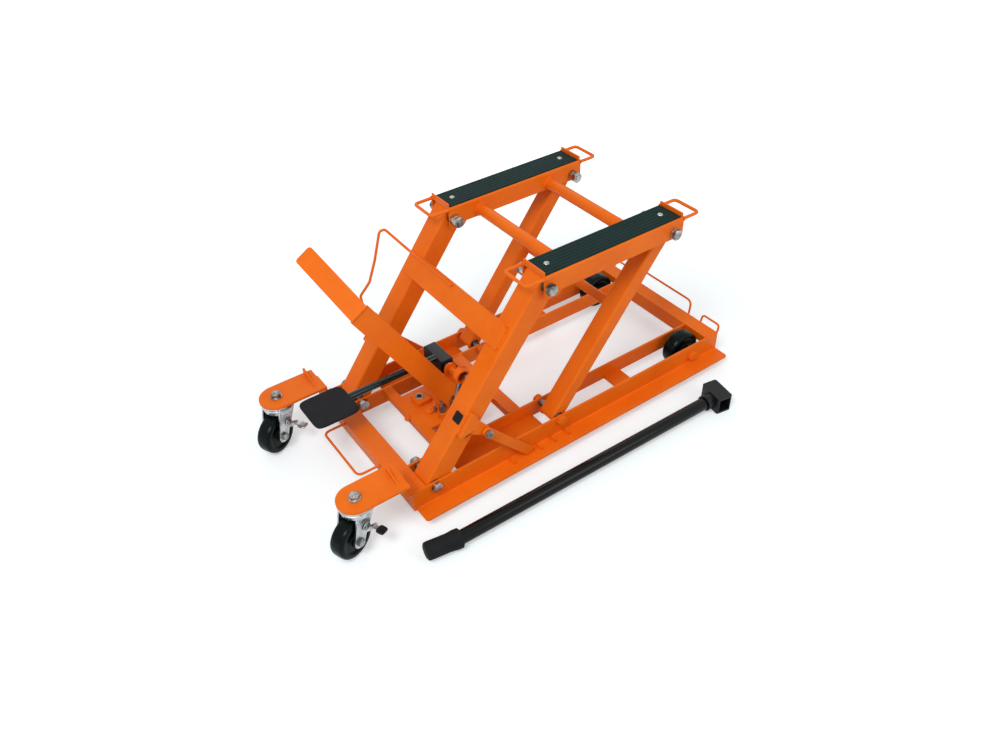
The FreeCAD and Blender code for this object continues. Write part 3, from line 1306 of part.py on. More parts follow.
def handle_claw():
    """Square socket across the end of the tube, open at both of its ends."""
    half_w, half_l = CLAW_WIDTH / 2, CLAW_LENGTH / 2
    outer = flat_plate(ring_of(-half_w, half_w, -half_l, half_l, CLAW_CORNER), 0, CLAW_HEIGHT)
    wall = CLAW_WALL
    beyond = half_l + OVERRUN
    slot = box(wall - half_w, half_w - wall, -beyond, beyond, wall, CLAW_HEIGHT - wall)
    run = (TUBE_END - GRIP_END).normalize()
    middle = TUBE_END + run * (half_w + COLLAR_WALL)
    turn = Rotation(Vector(0, 0, 1), CLAW_TURN)
    lift = Vector(0, 0, GRIP_RADIUS)
    start = TUBE_END - run * COLLAR_LENGTH + lift
    collar = rod(start, TUBE_END + run * (half_w / 2) + lift, TUBE_RADIUS + COLLAR_WALL)
    bore = rod(start - run * OVERRUN, TUBE_END + lift, TUBE_RADIUS + WELD_CLEARANCE)
    return fuse(placed(outer, middle, turn), collar).cut(bore).cut(placed(slot, middle, turn))


save("tow_grip", handle_grip())
save("tow_claw", handle_claw())
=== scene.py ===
import json
import math

import bmesh
import bpy
import numpy as np
from mathutils import Matrix, Vector


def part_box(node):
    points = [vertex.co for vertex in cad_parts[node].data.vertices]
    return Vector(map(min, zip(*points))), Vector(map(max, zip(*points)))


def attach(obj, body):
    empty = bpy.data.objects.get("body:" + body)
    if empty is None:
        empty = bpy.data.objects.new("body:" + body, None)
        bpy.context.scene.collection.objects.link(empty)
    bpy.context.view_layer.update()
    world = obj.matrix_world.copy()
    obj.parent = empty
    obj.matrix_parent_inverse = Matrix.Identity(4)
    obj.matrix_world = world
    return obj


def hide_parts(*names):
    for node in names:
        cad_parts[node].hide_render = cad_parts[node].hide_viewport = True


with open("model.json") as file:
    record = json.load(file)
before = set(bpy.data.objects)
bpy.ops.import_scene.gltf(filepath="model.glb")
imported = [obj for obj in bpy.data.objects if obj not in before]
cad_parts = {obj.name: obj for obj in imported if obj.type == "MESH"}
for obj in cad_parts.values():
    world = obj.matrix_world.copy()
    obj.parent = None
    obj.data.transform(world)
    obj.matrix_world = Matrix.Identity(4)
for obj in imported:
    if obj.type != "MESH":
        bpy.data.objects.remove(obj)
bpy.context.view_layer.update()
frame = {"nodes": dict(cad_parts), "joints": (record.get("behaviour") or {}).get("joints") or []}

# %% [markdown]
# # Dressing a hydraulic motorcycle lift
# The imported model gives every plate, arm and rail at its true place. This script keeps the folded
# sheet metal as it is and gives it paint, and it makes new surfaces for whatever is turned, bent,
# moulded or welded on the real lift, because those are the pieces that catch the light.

MM = 0.001
JOINTS = {joint["name"]: joint for joint in frame["joints"]}


def pivot(joint):
    """The pivot of a joint, in millimetres."""
    return np.array(JOINTS[joint]["pos_m"]) / MM


def extent(node):
    """Lowest and highest corner of a node, in millimetres."""
    low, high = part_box(node)
    return np.array(low) / MM, np.array(high) / MM


LOWER = pivot("front_arms_lift")
UPPER = pivot("platform_level")
REAR_LOWER = pivot("rear_arms_follow")
SPACING = REAR_LOWER[0] - LOWER[0]
ALONG = (UPPER - LOWER) / np.linalg.norm(UPPER - LOWER)
OUT = np.array([-ALONG[2], 0.0, ALONG[0]])
LENGTHWISE = np.array([1.0, 0.0, 0.0])
ACROSS = np.array([0.0, 1.0, 0.0])
UP = np.array([0.0, 0.0, 1.0])
MID_PLANE = LENGTHWISE + UP  # a point times this lies on the lift's middle plane
ORIGIN = np.zeros(3)
print("arm angle", round(math.degrees(math.asin(ALONG[2])), 2), "upper pivot", UPPER.round(1))


def on_arm(along, across, out, foot=LOWER):
    """A point by its distance along an arm, across the lift and out of the arm's axis."""
    return foot + ALONG * along + ACROSS * across + OUT * out


# %% [markdown]
# ## Surfaces from numbers
# A turned part is a profile that goes round an axis, a bent wire is a circle carried along a path,
# and a pressed plate is two sheets joined at their edges. Each is a grid of points worked out as one
# array. A general sculpting tool could make the same shapes, but a formula states the sizes and can
# be used again for the next bolt.

# %% Grids of points and the shell that gathers them
def unit(vector):
    """The vector at length one."""
    vector = np.asarray(vector, float)
    return vector / np.linalg.norm(vector)


def grid_faces(rows, columns, around):
    """Quads of a grid: each corner with its neighbours in the next column and the next row."""
    i, j = np.meshgrid(np.arange(rows - 1), np.arange(columns - (not around)), indexing="ij")
    k = (j + 1) % columns
    row, next_row = i * columns, (i + 1) * columns
    return np.stack([row + j, row + k, next_row + k, next_row + j], -1).reshape(-1, 4)


class Shell:
    """Grids in millimetres that become one mesh. Each grid is closed by itself."""

    def __init__(self):
        self.groups = []

    def add(self, *grids):
        """Takes (rows, columns, 3) grids whose columns go all the way round."""
        for grid in grids:
            self.groups.append([(grid, True)])
        return self

    def add_slab(self, top, bottom):
        """Takes two sheets of the same size and closes the gap between their edges."""
        edges = [np.stack([top[0], bottom[0]]), np.stack([top[-1], bottom[-1]])]
        edges += [np.stack([top[:, 0], bottom[:, 0]]), np.stack([top[:, -1], bottom[:, -1]])]
        self.groups.append([(sheet, False) for sheet in [top, bottom] + edges])
        return self

    def piece(self, name, body, slot, finish, crease=35.0):
        """One mesh object, with seams and poles closed, that rides on a body."""
        points, faces, spans, count = [], [], [], 0
        for group in self.groups:
            start = count
            for grid, around in group:
                faces.append(grid_faces(grid.shape[0], grid.shape[1], around) + count)
                points.append(grid.reshape(-1, 3) * MM)
                count += grid.shape[0] * grid.shape[1]
            spans.append((start, count))
        mesh = bpy.data.meshes.new(name)
        mesh.from_pydata(np.concatenate(points).tolist(), [], np.concatenate(faces).tolist())
        work = bmesh.new()
        work.from_mesh(mesh)
        work.verts.ensure_lookup_table()
        for group in [list(work.verts[start:end]) for start, end in spans]:
            bmesh.ops.remove_doubles(work, verts=group, dist=0.002 * MM)
        bmesh.ops.dissolve_degenerate(work, dist=0.001 * MM, edges=work.edges)
        bmesh.ops.recalc_face_normals(work, faces=work.faces)
        work.to_mesh(mesh)
        work.free()
        mesh.polygons.foreach_set("use_smooth", [True] * len(mesh.polygons))
        mesh.set_sharp_from_angle(angle=math.radians(crease))
        mesh.materials.append(finish)
        made = bpy.data.objects.new(name, mesh)
        bpy.context.scene.collection.objects.link(made)
        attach(made, body)
        print(name, len(mesh.polygons), "faces")
        return made


# %% Paths, turned profiles, tubes and hexagons
def eased(points, bend, steps=5, closed=False):
    """A path whose corners are eased: between the two tangent points the curve is
    (1-t)^2 A + 2t(1-t) C + t^2 B, with the corner C as its middle control point."""
    points = np.asarray(points, float)
    before = np.roll(points, 1, 0)
    after = np.roll(points, -1, 0)
    back, ahead = before - points, after - points
    long_back = np.linalg.norm(back, axis=1, keepdims=True)
    long_ahead = np.linalg.norm(ahead, axis=1, keepdims=True)
    back, ahead = back / np.maximum(long_back, 1e-9), ahead / np.maximum(long_ahead, 1e-9)
    cosine = np.clip((back * ahead).sum(1, keepdims=True), -0.9999, 0.9999)
    reach = np.broadcast_to(np.reshape(bend, (-1, 1)), (len(points), 1)) / np.tan(np.arccos(cosine) / 2)
    reach = np.minimum(reach, 0.48 * np.minimum(long_back, long_ahead))
    t = np.linspace(0, 1, steps)[None, :, None]
    a, b = (points + back * reach)[:, None], (points + ahead * reach)[:, None]
    arcs = (1 - t) ** 2 * a + 2 * t * (1 - t) * points[:, None] + t ** 2 * b
    if closed:
        ring = arcs.reshape(-1, points.shape[1])
        return np.concatenate([ring, ring[:1]])
    inner = arcs[1:-1].reshape(-1, points.shape[1])
    return np.concatenate([points[:1], inner, points[-1:]])


OFF_AXIS = (0.31, 0.87, 0.39)


def spokes(axis, around):
    """The unit axis, the angles of one turn, and at each angle u cos + v sin, square to the axis."""
    axis = unit(axis)
    u = unit(np.cross(axis, OFF_AXIS))
    v = np.cross(axis, u)
    turn = np.arange(around) * 2 * math.pi / around
    return axis, turn, np.cos(turn)[:, None] * u + np.sin(turn)[:, None] * v


def capped(rows):
    """The same grid with its first and last row drawn in to their middles."""
    first, last = (np.broadcast_to(rows[k].mean(0), rows[:1].shape) for k in (0, -1))
    return np.concatenate([first, rows, last])


def lathe(profile, centre, axis, around=56):
    """Rows of (radius, height) turned about an axis: centre + axis h + r (u cos + v sin)."""
    axis, _, ring = spokes(axis, around)
    radius, height = np.asarray(profile, float).T[..., None, None]
    return np.asarray(centre) + height * axis + radius * ring


def disc(radius, low, high, centre, axis, edge=0.4, around=56):
    """Round plate with eased edges between two heights."""
    rim = eased([(0, low), (radius, low), (radius, high), (0, high)], edge, 4)
    return lathe(rim, centre, axis, around)


def tube(path, radius, around=18):
    """Circle carried along a path: the point is p + r (a cos + b sin), a and b square to the run."""
    path = np.asarray(path, float)
    run = np.gradient(path, axis=0)
    run /= np.linalg.norm(run, axis=1, keepdims=True)
    a = np.cross(run, unit([0.53, 0.62, 0.58]))
    a /= np.linalg.norm(a, axis=1, keepdims=True)
    b = np.cross(run, a)
    turn = (np.arange(around) * 2 * math.pi / around)[:, None]
    radius = np.broadcast_to(radius, len(path))[:, None, None]
    rings = path[:, None] + radius * (np.cos(turn) * a[:, None] + np.sin(turn) * b[:, None])
    start, end = (np.broadcast_to(point, rings[:1].shape) for point in (path[0], path[-1]))
    return np.concatenate([start, rings, end])


def evenly(path, step):
    """The same path with points at even distances."""
    path = np.asarray(path, float)
    length = np.concatenate([[0], np.cumsum(np.linalg.norm(np.diff(path, axis=0), axis=1))])
    at = np.linspace(0, length[-1], max(2, int(length[-1] / step)))
    return np.stack([np.interp(at, length, path[:, k]) for k in range(3)], -1)


HEX_ROWS = np.array([0.0, 0.0, 0.04, 0.6, 0.72, 0.8, 0.88, 0.94, 1.0, 1.0, 1.0])
CHAMFER_SLOPE = 1.73
THREAD_RADIUS, PITCH = 5.9, 1.75


def hexagon(flats, height, centre, axis, spin=0.0):
    """Bolt head or nut: at each angle the smaller of the hexagon's radius and the chamfer cone's."""
    axis, turn, ring = spokes(axis, 72)
    side = flats / 2 / np.cos((turn + spin) % (math.pi / 3) - math.pi / 6)
    steps = HEX_ROWS * height
    cone = flats * 0.465 + (height - steps) * CHAMFER_SLOPE
    cone[[0, 1, -2, -1]] = [0, flats * 0.5, flats * 0.4, 0]
    radius = np.minimum(side, cone[:, None])
    return np.asarray(centre) + steps[:, None, None] * axis + radius[..., None] * ring


def thread(length, centre, axis):
    """Screw thread: the radius falls and rises once per turn as the height grows by one pitch."""
    axis, turn, ring = spokes(axis, 36)
    rows = np.linspace(0, length, max(8, int(length / PITCH * 6)))
    wave = np.abs((rows[:, None] / PITCH + turn / (2 * math.pi)) % 1.0 - 0.5) * 2
    depth = THREAD_RADIUS - wave * PITCH * 0.45
    return capped(np.asarray(centre) + rows[:, None, None] * axis + depth[..., None] * ring)


def plate(outline, bend, origin, u, v, low, high, edge=0.6):
    """Flat plate: a closed outline with eased corners in the plane of u and v, carried along u x v."""
    ring = eased(outline, bend, 5, True)[:-1]
    middle = ring.mean(0)
    inward = middle - ring
    inner = ring + inward / np.linalg.norm(inward, axis=1, keepdims=True) * edge
    centre = np.broadcast_to(middle, ring.shape)
    rows = [(centre, low), (inner, low), (ring, low + edge)]
    rows += [(ring, high - edge), (inner, high), (centre, high)]
    u, v = unit(u), unit(v)
    along = np.cross(u, v)
    origin = np.asarray(origin, float)
    return np.stack([origin + r[:, :1] * u + r[:, 1:] * v + h * along for r, h in rows])


def pillow(centre, half_x, half_y, half_z, x_axis, y_axis, corner=5.0, edge=10.0):
    """Rows go out from the middle: the outline is |x|^n + |y|^n = 1, and the height is
    (1 - r^e)^(1/2), flat in the middle and round at the edge. Top and bottom make one closed grid."""
    turn = np.arange(120) * 2 * math.pi / 120
    c, s = np.cos(turn), np.sin(turn)
    outline = (np.abs(c) ** corner + np.abs(s) ** corner) ** (-1 / corner)
    r = np.concatenate([[0, 0.3, 0.6, 0.8], np.linspace(0.88, 1, 9)])
    rows = np.concatenate([r, r[-2::-1]])
    high = np.sqrt(np.clip(1 - r ** edge, 0, 1))
    high = np.concatenate([high, -high[-2::-1]])
    x, y = rows[:, None] * outline * c * half_x, rows[:, None] * outline * s * half_y
    z_axis = np.cross(x_axis, y_axis)
    grid = x[..., None] * np.asarray(x_axis) + y[..., None] * np.asarray(y_axis)
    return np.asarray(centre) + grid + (high[:, None] * half_z * np.ones_like(x))[..., None] * z_axis


# %% [markdown]
# ## Shader maths as sums
# A finish is made of numbers that change over the surface: how deep a scratch is, how thin the paint
# has worn. Written as nodes such a sum fills a screen, so a small class wraps a socket and lets plus,
# minus and times add the Math nodes. Every other node comes from one method.

# %% A field over the surface, and the finish that owns it
def wired(tree, kind, settings=None, inputs=None):
    """Adds a node and returns its outputs: its settings first, then the values or links of its sockets."""
    made = tree.nodes.new(kind)
    for key, value in (settings or {}).items():
        if key == "stops":
            for element, (position, colour) in zip(made.color_ramp.elements, value):
                element.position = position
                element.color = colour
        else:
            setattr(made, key, value)
    for key, value in (inputs or {}).items():
        value = getattr(value, "socket", value)
        if isinstance(value, bpy.types.NodeSocket):
            tree.links.new(value, made.inputs[key])
        else:
            made.inputs[key].default_value = value
    return made.outputs


class Field:
    """A socket whose value changes over the surface."""

    def __init__(self, finish, socket):
        self.finish = finish
        self.socket = socket

    def maths(self, operation, first, second):
        """A Math node on two values, as a new field."""
        return self.finish.node("ShaderNodeMath", {"operation": operation}, {0: first, 1: second})

    def __add__(self, other):
        return self.maths("ADD", self, other)

    def __radd__(self, other):
        return self.maths("ADD", other, self)

    def __sub__(self, other):
        return self.maths("SUBTRACT", self, other)

    def __rsub__(self, other):
        return self.maths("SUBTRACT", other, self)

    def __mul__(self, other):
        return self.maths("MULTIPLY", self, other)

    def __rmul__(self, other):
        return self.maths("MULTIPLY", other, self)


class Finish:
    """A material built round one Principled shader."""

    def __init__(self, name, constants):
        self.material = bpy.data.materials.new(name)
        self.material.use_nodes = True
        self.tree = self.material.node_tree
        self.shader = self.tree.nodes["Principled BSDF"]
        for socket, value in constants.items():
            self.shader.inputs[socket].default_value = value
        self.place = self.node("ShaderNodeTexCoord", output="Object")

    def node(self, kind, settings=None, inputs=None, output=0):
        """A new node of this finish, as the field that one of its outputs gives."""
        return Field(self, wired(self.tree, kind, settings, inputs)[output])

    def feed(self, socket, field):
        """Links a field to a socket of the shader."""
        self.tree.links.new(field.socket, self.shader.inputs[socket])

    def noise(self, scale, detail=3.0, rough=0.5, place=None):
        """Cloudy noise from 0 to 1; scale is in bumps per metre."""
        inputs = {"Vector": place or self.place, "Scale": scale, "Detail": detail, "Roughness": rough}
        return self.node("ShaderNodeTexNoise", inputs=inputs)

    def ramp(self, field, low, high):
        """0 where the field is under low, 1 where it is over high."""
        stops = [(low, (0, 0, 0, 1)), (high, (1, 1, 1, 1))]
        return self.node("ShaderNodeValToRGB", {"stops": stops}, {"Fac": field})

    def blend(self, share, first, second):
        """One colour turning into another as share goes from 0 to 1."""
        inputs = {"Factor": share, 6: first, 7: second}
        return self.node("ShaderNodeMix", {"data_type": "RGBA"}, inputs, 2)

    def stretched(self, x, y, z):
        """The surface's place with each direction scaled."""
        return self.node("ShaderNodeMapping", inputs={"Vector": self.place, "Scale": (x, y, z)})

    def soft_edge(self, radius):
        """The normal of a surface whose edges are rounded by radius."""
        return self.node("ShaderNodeBevel", {"samples": 6}, {"Radius": radius})

    def edge(self, rounded):
        """Near 0 on flats, rising at edges: how far the rounded normal leans from the true one."""
        flat = self.node("ShaderNodeNewGeometry", output="Normal")
        both = {0: rounded, 1: flat}
        return 1.0 - self.node("ShaderNodeVectorMath", {"operation": "DOT_PRODUCT"}, both, "Value")

    def bump(self, height, distance, strength, normal):
        """Leans the normal by the slope of height times distance, on top of the given normal."""
        inputs = {"Strength": strength, "Distance": distance, "Height": height, "Normal": normal}
        self.feed("Normal", self.node("ShaderNodeBump", inputs=inputs))


def tint(red, green, blue):
    """A colour as seen on a screen, 0 to 255, as the linear numbers that a shader takes."""
    share = np.array([red, green, blue]) / 255
    linear = np.where(share <= 0.04045, share / 12.92, ((share + 0.055) / 1.055) ** 2.4)
    return (*linear.tolist(), 1.0)


# %% [markdown]
# ## The finishes
# The frame is powder coated: a thick gloss paint with a faint orange-peel skin, a little thin and
# pale along its edges and dusty in patches. Fasteners are zinc plated, with fine turning marks and a
# cloudy grey tone whose dark patches are painted dark reflections. The mats, pads and grip are black
# rubber with a fine grain.

# %% Powder coat, orange and black
def powder_coat(name, colour, deep, worn, gloss, peel, shine):
    """Gloss paint: cloudy colour, pale edges, orange-peel skin and fine dust."""
    finish = Finish(name, {"Coat Roughness": 0.12, "Coat IOR": 1.5, "Specular IOR Level": shine})
    rounded = finish.soft_edge(0.9 * MM)
    edge = finish.ramp(finish.edge(rounded), 0.02, 0.30)
    cloud = finish.noise(14.0, 4.0, 0.6)
    speck = finish.ramp(finish.noise(420.0, 2.0, 0.7), 0.56, 0.72)
    base = finish.blend(finish.ramp(cloud, 0.35, 0.68), deep, colour)
    wear = edge * finish.ramp(finish.noise(90.0, 3.0, 0.65), 0.35, 0.75)
    base = finish.blend(wear * 0.55, base, worn)
    finish.feed("Base Color", finish.blend(speck * 0.10, base, worn))
    finish.feed("Roughness", gloss + cloud * 0.12 + speck * 0.10)
    finish.feed("Coat Weight", shine * 0.5 - wear * 0.08)
    skin = finish.noise(520.0, 2.0, 0.5) + finish.noise(60.0, 2.0, 0.5) * 0.8
    finish.bump(skin, peel * MM, 0.6, rounded)
    return finish.material


ORANGE = powder_coat(
    "orange_powder_coat", tint(240, 114, 16), tint(232, 105, 12), tint(246, 150, 70),
    gloss=0.38, peel=0.05, shine=0.13,
)
BLACK = powder_coat(
    "black_powder_coat", tint(9, 12, 12), tint(6, 8, 8), tint(40, 44, 44),
    gloss=0.13, peel=0.006, shine=0.15,
)
BLACK_GREEN = powder_coat(
    "dark_green_paint", tint(6, 36, 32), tint(4, 26, 23), tint(50, 76, 72),
    gloss=0.16, peel=0.01, shine=0.35,
)
BLACK_SATIN = powder_coat(
    "black_satin_paint", tint(20, 22, 23), tint(14, 16, 17), tint(56, 58, 58),
    gloss=0.38, peel=0.03, shine=0.20,
)


# %% Zinc plate, pressed steel and turned steel
def metal(name, colour, deep, rough, grain, stretch):
    """Plated metal: cloudy tone, fine marks along one direction and eased edges. On the zinc
    the cloud's dark colour is a painted dark reflection.
    """
    finish = Finish(name, {"Metallic": 1.0, "Specular IOR Level": 0.5})
    rounded = finish.soft_edge(0.5 * MM)
    cloud = finish.noise(55.0, 4.0, 0.6)
    marks = finish.noise(grain, 2.0, 0.6, finish.stretched(*stretch))
    # The cloud mixes the dark and the light colour; on the zinc the dark patches are painted reflection.
    finish.feed("Base Color", finish.blend(finish.ramp(cloud, 0.3, 0.7), deep, colour))
    finish.feed("Roughness", rough + marks * 0.16 + cloud * 0.08)
    finish.bump(marks, 0.02 * MM, 0.5, rounded)
    return finish.material


# The zinc's dark colour is painted reflection: mirrored dark surroundings that the white studio lacks.
ZINC = metal(
    "bright_zinc_plate", tint(196, 196, 190), tint(58, 59, 62), rough=0.17, grain=700.0, stretch=(1, 1, 1)
)
PRESSED = metal(
    "plated_pressing", tint(216, 218, 220), tint(150, 154, 158), rough=0.16, grain=500.0, stretch=(1, 1, 0.15)
)
TURNED = metal(
    "turned_steel", tint(140, 138, 134), tint(92, 90, 88), rough=0.28, grain=900.0, stretch=(1, 0.05, 1)
)


# %% Rubber mats, pads, foam grip and moulded wheels
def rubber(name, colour, pale, rough, grain, depth):
    """Black rubber: fine grain, pale dust in the hollows of a slower cloud."""
    finish = Finish(name, {"Specular IOR Level": 0.1})
    rounded = finish.soft_edge(0.8 * MM)
    cloud = finish.noise(38.0, 4.0, 0.65)
    fine = finish.noise(grain, 3.0, 0.6)
    edge = finish.ramp(finish.edge(rounded), 0.02, 0.35)
    base = finish.blend(finish.ramp(cloud, 0.35, 0.75) * 0.3, colour, pale)
    finish.feed("Base Color", finish.blend(edge * 0.35, base, pale))
    finish.feed("Roughness", rough + fine * 0.15 - edge * 0.08)
    finish.bump(fine, depth * MM, 0.7, rounded)
    return finish.material


MAT = rubber(
    "ribbed_mat_rubber", tint(9, 36, 34), tint(24, 52, 49), rough=0.50, grain=900.0, depth=0.10
)
PAD = rubber(
    "moulded_pad_rubber", tint(28, 29, 32), tint(44, 45, 48), rough=0.55, grain=1100.0, depth=0.15
)
GRIP = rubber(
    "foam_grip_rubber", tint(27, 28, 30), tint(46, 48, 50), rough=0.62, grain=650.0, depth=0.35
)
WHEEL = rubber(
    "moulded_wheel_rubber", tint(3, 14, 12), tint(12, 26, 24), rough=0.16, grain=420.0, depth=0.02
)
print(len(bpy.data.materials), "materials so far")

# %% [markdown]
# ## Camera, floor and light
# The camera stands where the photographer stood: high in front of the near corner, with a moderate
# wide lens and a slight roll. The floor is pale and glows a little for the camera alone, so that it
# reads as white paper and still takes the soft shadow under the base. The glow is painted light: weak
# near the lift and strong far off, where the lamps light the floor less, and the floor's cool tint
# cancels the orange light bounced into its shadows.

# %% Camera at the photograph's viewpoint
AZIMUTH, ELEVATION, ROLL = np.radians([-33.976, 40.405, -2.302])
CAMERA_PLACE = (-0.4435, -1.0304, 1.1171)
PHOTO_WIDTH, FOCAL_PIXELS, SENSOR = 1000, 834.2, 36.0
level = np.array([math.cos(AZIMUTH), math.sin(AZIMUTH), 0.0])
back = np.array([level[1], -level[0], 0.0]) * math.cos(ELEVATION) + UP * math.sin(ELEVATION)
rise = np.cross(back, level)
right = level * math.cos(ROLL) + rise * math.sin(ROLL)
top = rise * math.cos(ROLL) - level * math.sin(ROLL)
pose = np.eye(4)
pose[:3] = np.column_stack([right, top, back, CAMERA_PLACE])
camera = bpy.data.objects.new("camera", bpy.data.cameras.new("camera"))
bpy.context.scene.collection.objects.link(camera)
camera.data.sensor_width = SENSOR
camera.data.lens = FOCAL_PIXELS * SENSOR / PHOTO_WIDTH
camera.matrix_world = Matrix(pose.tolist())
bpy.context.scene.camera = camera
bpy.context.scene.view_settings.view_transform = "Standard"
print("lens", round(camera.data.lens, 2), "mm")


# %% Floor and world, white for the camera
def seen_directly(tree):
    """1 for rays that show a background: straight from the camera, off gloss or through glass."""
    rays = wired(tree, "ShaderNodeLightPath")
    total = rays["Is Camera Ray"]
    for name in ("Is Glossy Ray", "Is Transmission Ray"):
        total = wired(tree, "ShaderNodeMath", {"operation": "MAXIMUM"}, {0: total, 1: rays[name]})[0]
    return total


FLOOR_HALF, FLOOR_LOW = 4.0, -0.0004
# Cool tint: it cancels the orange light that the lift bounces into the floor's shadows.
FLOOR_COLOUR = (0.73, 0.80, 0.82, 1)
# Painted light: the camera's glow rises with distance from the lift, making up for the lamps' weaker light
# far off.
GLOW_CENTRE, GLOW_START, GLOW_END = (0.3, 0.0, 0.0), 0.45, 1.30
NEAR_GLOW, FAR_GLOW = 0.36, 0.80
WORLD_LEVEL = 0.50
floor_mesh = bpy.data.meshes.new("floor")
corners = np.array([(-1, -1), (1, -1), (1, 1), (-1, 1)]) * FLOOR_HALF
floor_mesh.from_pydata([(x, y, FLOOR_LOW) for x, y in corners], [], [(0, 1, 2, 3)])
floor = bpy.data.objects.new("floor", floor_mesh)
bpy.context.scene.collection.objects.link(floor)
paper = bpy.data.materials.new("pale_floor")
paper.use_nodes = True
tree = paper.node_tree
tree.nodes.clear()
# The glow's strength grows from NEAR_GLOW to FAR_GLOW with the distance from GLOW_CENTRE.
ends = {0: wired(tree, "ShaderNodeTexCoord")["Object"], 1: GLOW_CENTRE}
away = wired(tree, "ShaderNodeVectorMath", {"operation": "DISTANCE"}, ends)["Value"]
fading = {"Value": away, "From Min": GLOW_START, "From Max": GLOW_END}
fading |= {"To Min": NEAR_GLOW, "To Max": FAR_GLOW}
reach = wired(tree, "ShaderNodeMapRange", {"interpolation_type": "SMOOTHSTEP"}, fading)[0]
factors = {0: seen_directly(tree), 1: reach}
strength = wired(tree, "ShaderNodeMath", {"operation": "MULTIPLY"}, factors)[0]
glow = wired(tree, "ShaderNodeEmission", inputs={"Strength": strength})[0]
diffuse = wired(tree, "ShaderNodeBsdfDiffuse", inputs={"Color": FLOOR_COLOUR})[0]
both = wired(tree, "ShaderNodeAddShader", inputs={0: diffuse, 1: glow})[0]
wired(tree, "ShaderNodeOutputMaterial", inputs={"Surface": both})
floor_mesh.materials.append(paper)

world = bpy.data.worlds.new("studio")
bpy.context.scene.world = world
world.use_nodes = True
tree = world.node_tree
levels = {0: seen_directly(tree), 2: WORLD_LEVEL, 3: 1.0}
strength = wired(tree, "ShaderNodeMix", {"data_type": "FLOAT"}, levels)[0]
background = tree.nodes["Background"]
background.inputs["Color"].default_value = (1, 1, 1, 1)
tree.links.new(strength, background.inputs["Strength"])
print("floor and world are set")


# %% Three soft lamps
def lamp(name, place, size, watts):
    """Round soft light at place, turned to the lift's middle."""
    light = bpy.data.lights.new(name, "AREA")
    light.shape = "DISK"
    light.size = size
    light.energy = watts
    stand = bpy.data.objects.new(name, light)
    bpy.context.scene.collection.objects.link(stand)
    stand.location = place
    stand.rotation_euler = (Vector(place) - LIFT_MIDDLE).to_track_quat("Z", "Y").to_euler()


LIFT_MIDDLE = Vector((0.25, 0.0, 0.15))
lamp("key", (-1.3, -0.9, 2.4), 1.1, 35.0)
lamp("fill", (1.2, -2.1, 1.4), 1.6, 12.0)
lamp("rim", (1.2, 1.9, 1.7), 1.4, 6.0)
print("three lamps are set")

# %% [markdown]
# ## Finishes on the frame's own plates
# Folded plates, channels and rails are already the right shape. Only their finish is missing, so the
# material slot of each is filled and the mesh is left alone.

# %% Paint the plates that stay
KEPT = (
    (
        ORANGE,
        "rail_outer_far rail_outer_near rail_inner_far rail_inner_near rail_plates front_cross_member "
        "rear_cross_member jack_cross_member mid_cross_member caster_brackets jack_bed front_arm_far "
        "front_arm_near front_cross_plate rear_arm_far rear_arm_near saddle_far saddle_near "
        "pump_lever pump_body release_shaft",
    ),
    (BLACK_SATIN, "tow_claw ram_barrel"),
    (TURNED, "front_arm_bushes rear_arm_bushes pump_plunger"),
)


def paint(node, finish):
    """Fills the node's material slots."""
    kept = frame["nodes"][node]
    if not kept.material_slots:
        kept.data.materials.append(finish)
    for place in kept.material_slots:
        place.material = finish


for finish, names in KEPT:
    for node in names.split():
        paint(node, finish)
    print(finish.name, "on", names)

# %% [markdown]
# ## Bolts, nuts and pins
# A real hex head has a turned chamfer that cuts its corners round, a washer face and a threaded end
# past the nut. The front pivots are bright zinc; the rear pivots and the axles were painted with the
# frame. One function makes a head, and every fastener is a few calls of it.

# %% Lower pivot bolts and axles
SIDES = {"near": -1.0, "far": 1.0}
HEAD_FLATS, HEAD_HIGH, NUT_HIGH, SHANK = 18.0, 7.5, 10.0, 6.0
HEAD_Y = extent("base_bolts")[1][1] - HEAD_HIGH
INNER_WALL_Y = 100.0


def pivot_bolt(shell, place, side):
    """Head outside, nut and thread end inside, with the bare shank between the rail's walls."""
    out = ACROSS * side
    base = place * MID_PLANE
    wall = base + out * INNER_WALL_Y
    shell.add(hexagon(HEAD_FLATS, HEAD_HIGH, base + out * HEAD_Y, out, 0.3))
    shell.add(hexagon(HEAD_FLATS, NUT_HIGH, wall, -out, 0.9))
    shell.add(disc(SHANK, 0, HEAD_Y - INNER_WALL_Y, wall, out))
    shell.add(thread(12.5, base + out * (INNER_WALL_Y - 11.5), out))


bright, painted = Shell(), Shell()
for side in SIDES.values():
    pivot_bolt(bright, LOWER, side)
    pivot_bolt(painted, REAR_LOWER, side)
    pivot_bolt(painted, pivot("rear_wheel_roll_far"), side)
front_bolts = bright.piece("front_pivot_bolts", "base", "zinc_steel", ZINC)
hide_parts("base_bolts", "base_nuts")
rear_bolts = painted.piece("painted_pivot_bolts", "base", "orange_paint", ORANGE)
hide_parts("base_bolts", "base_nuts")

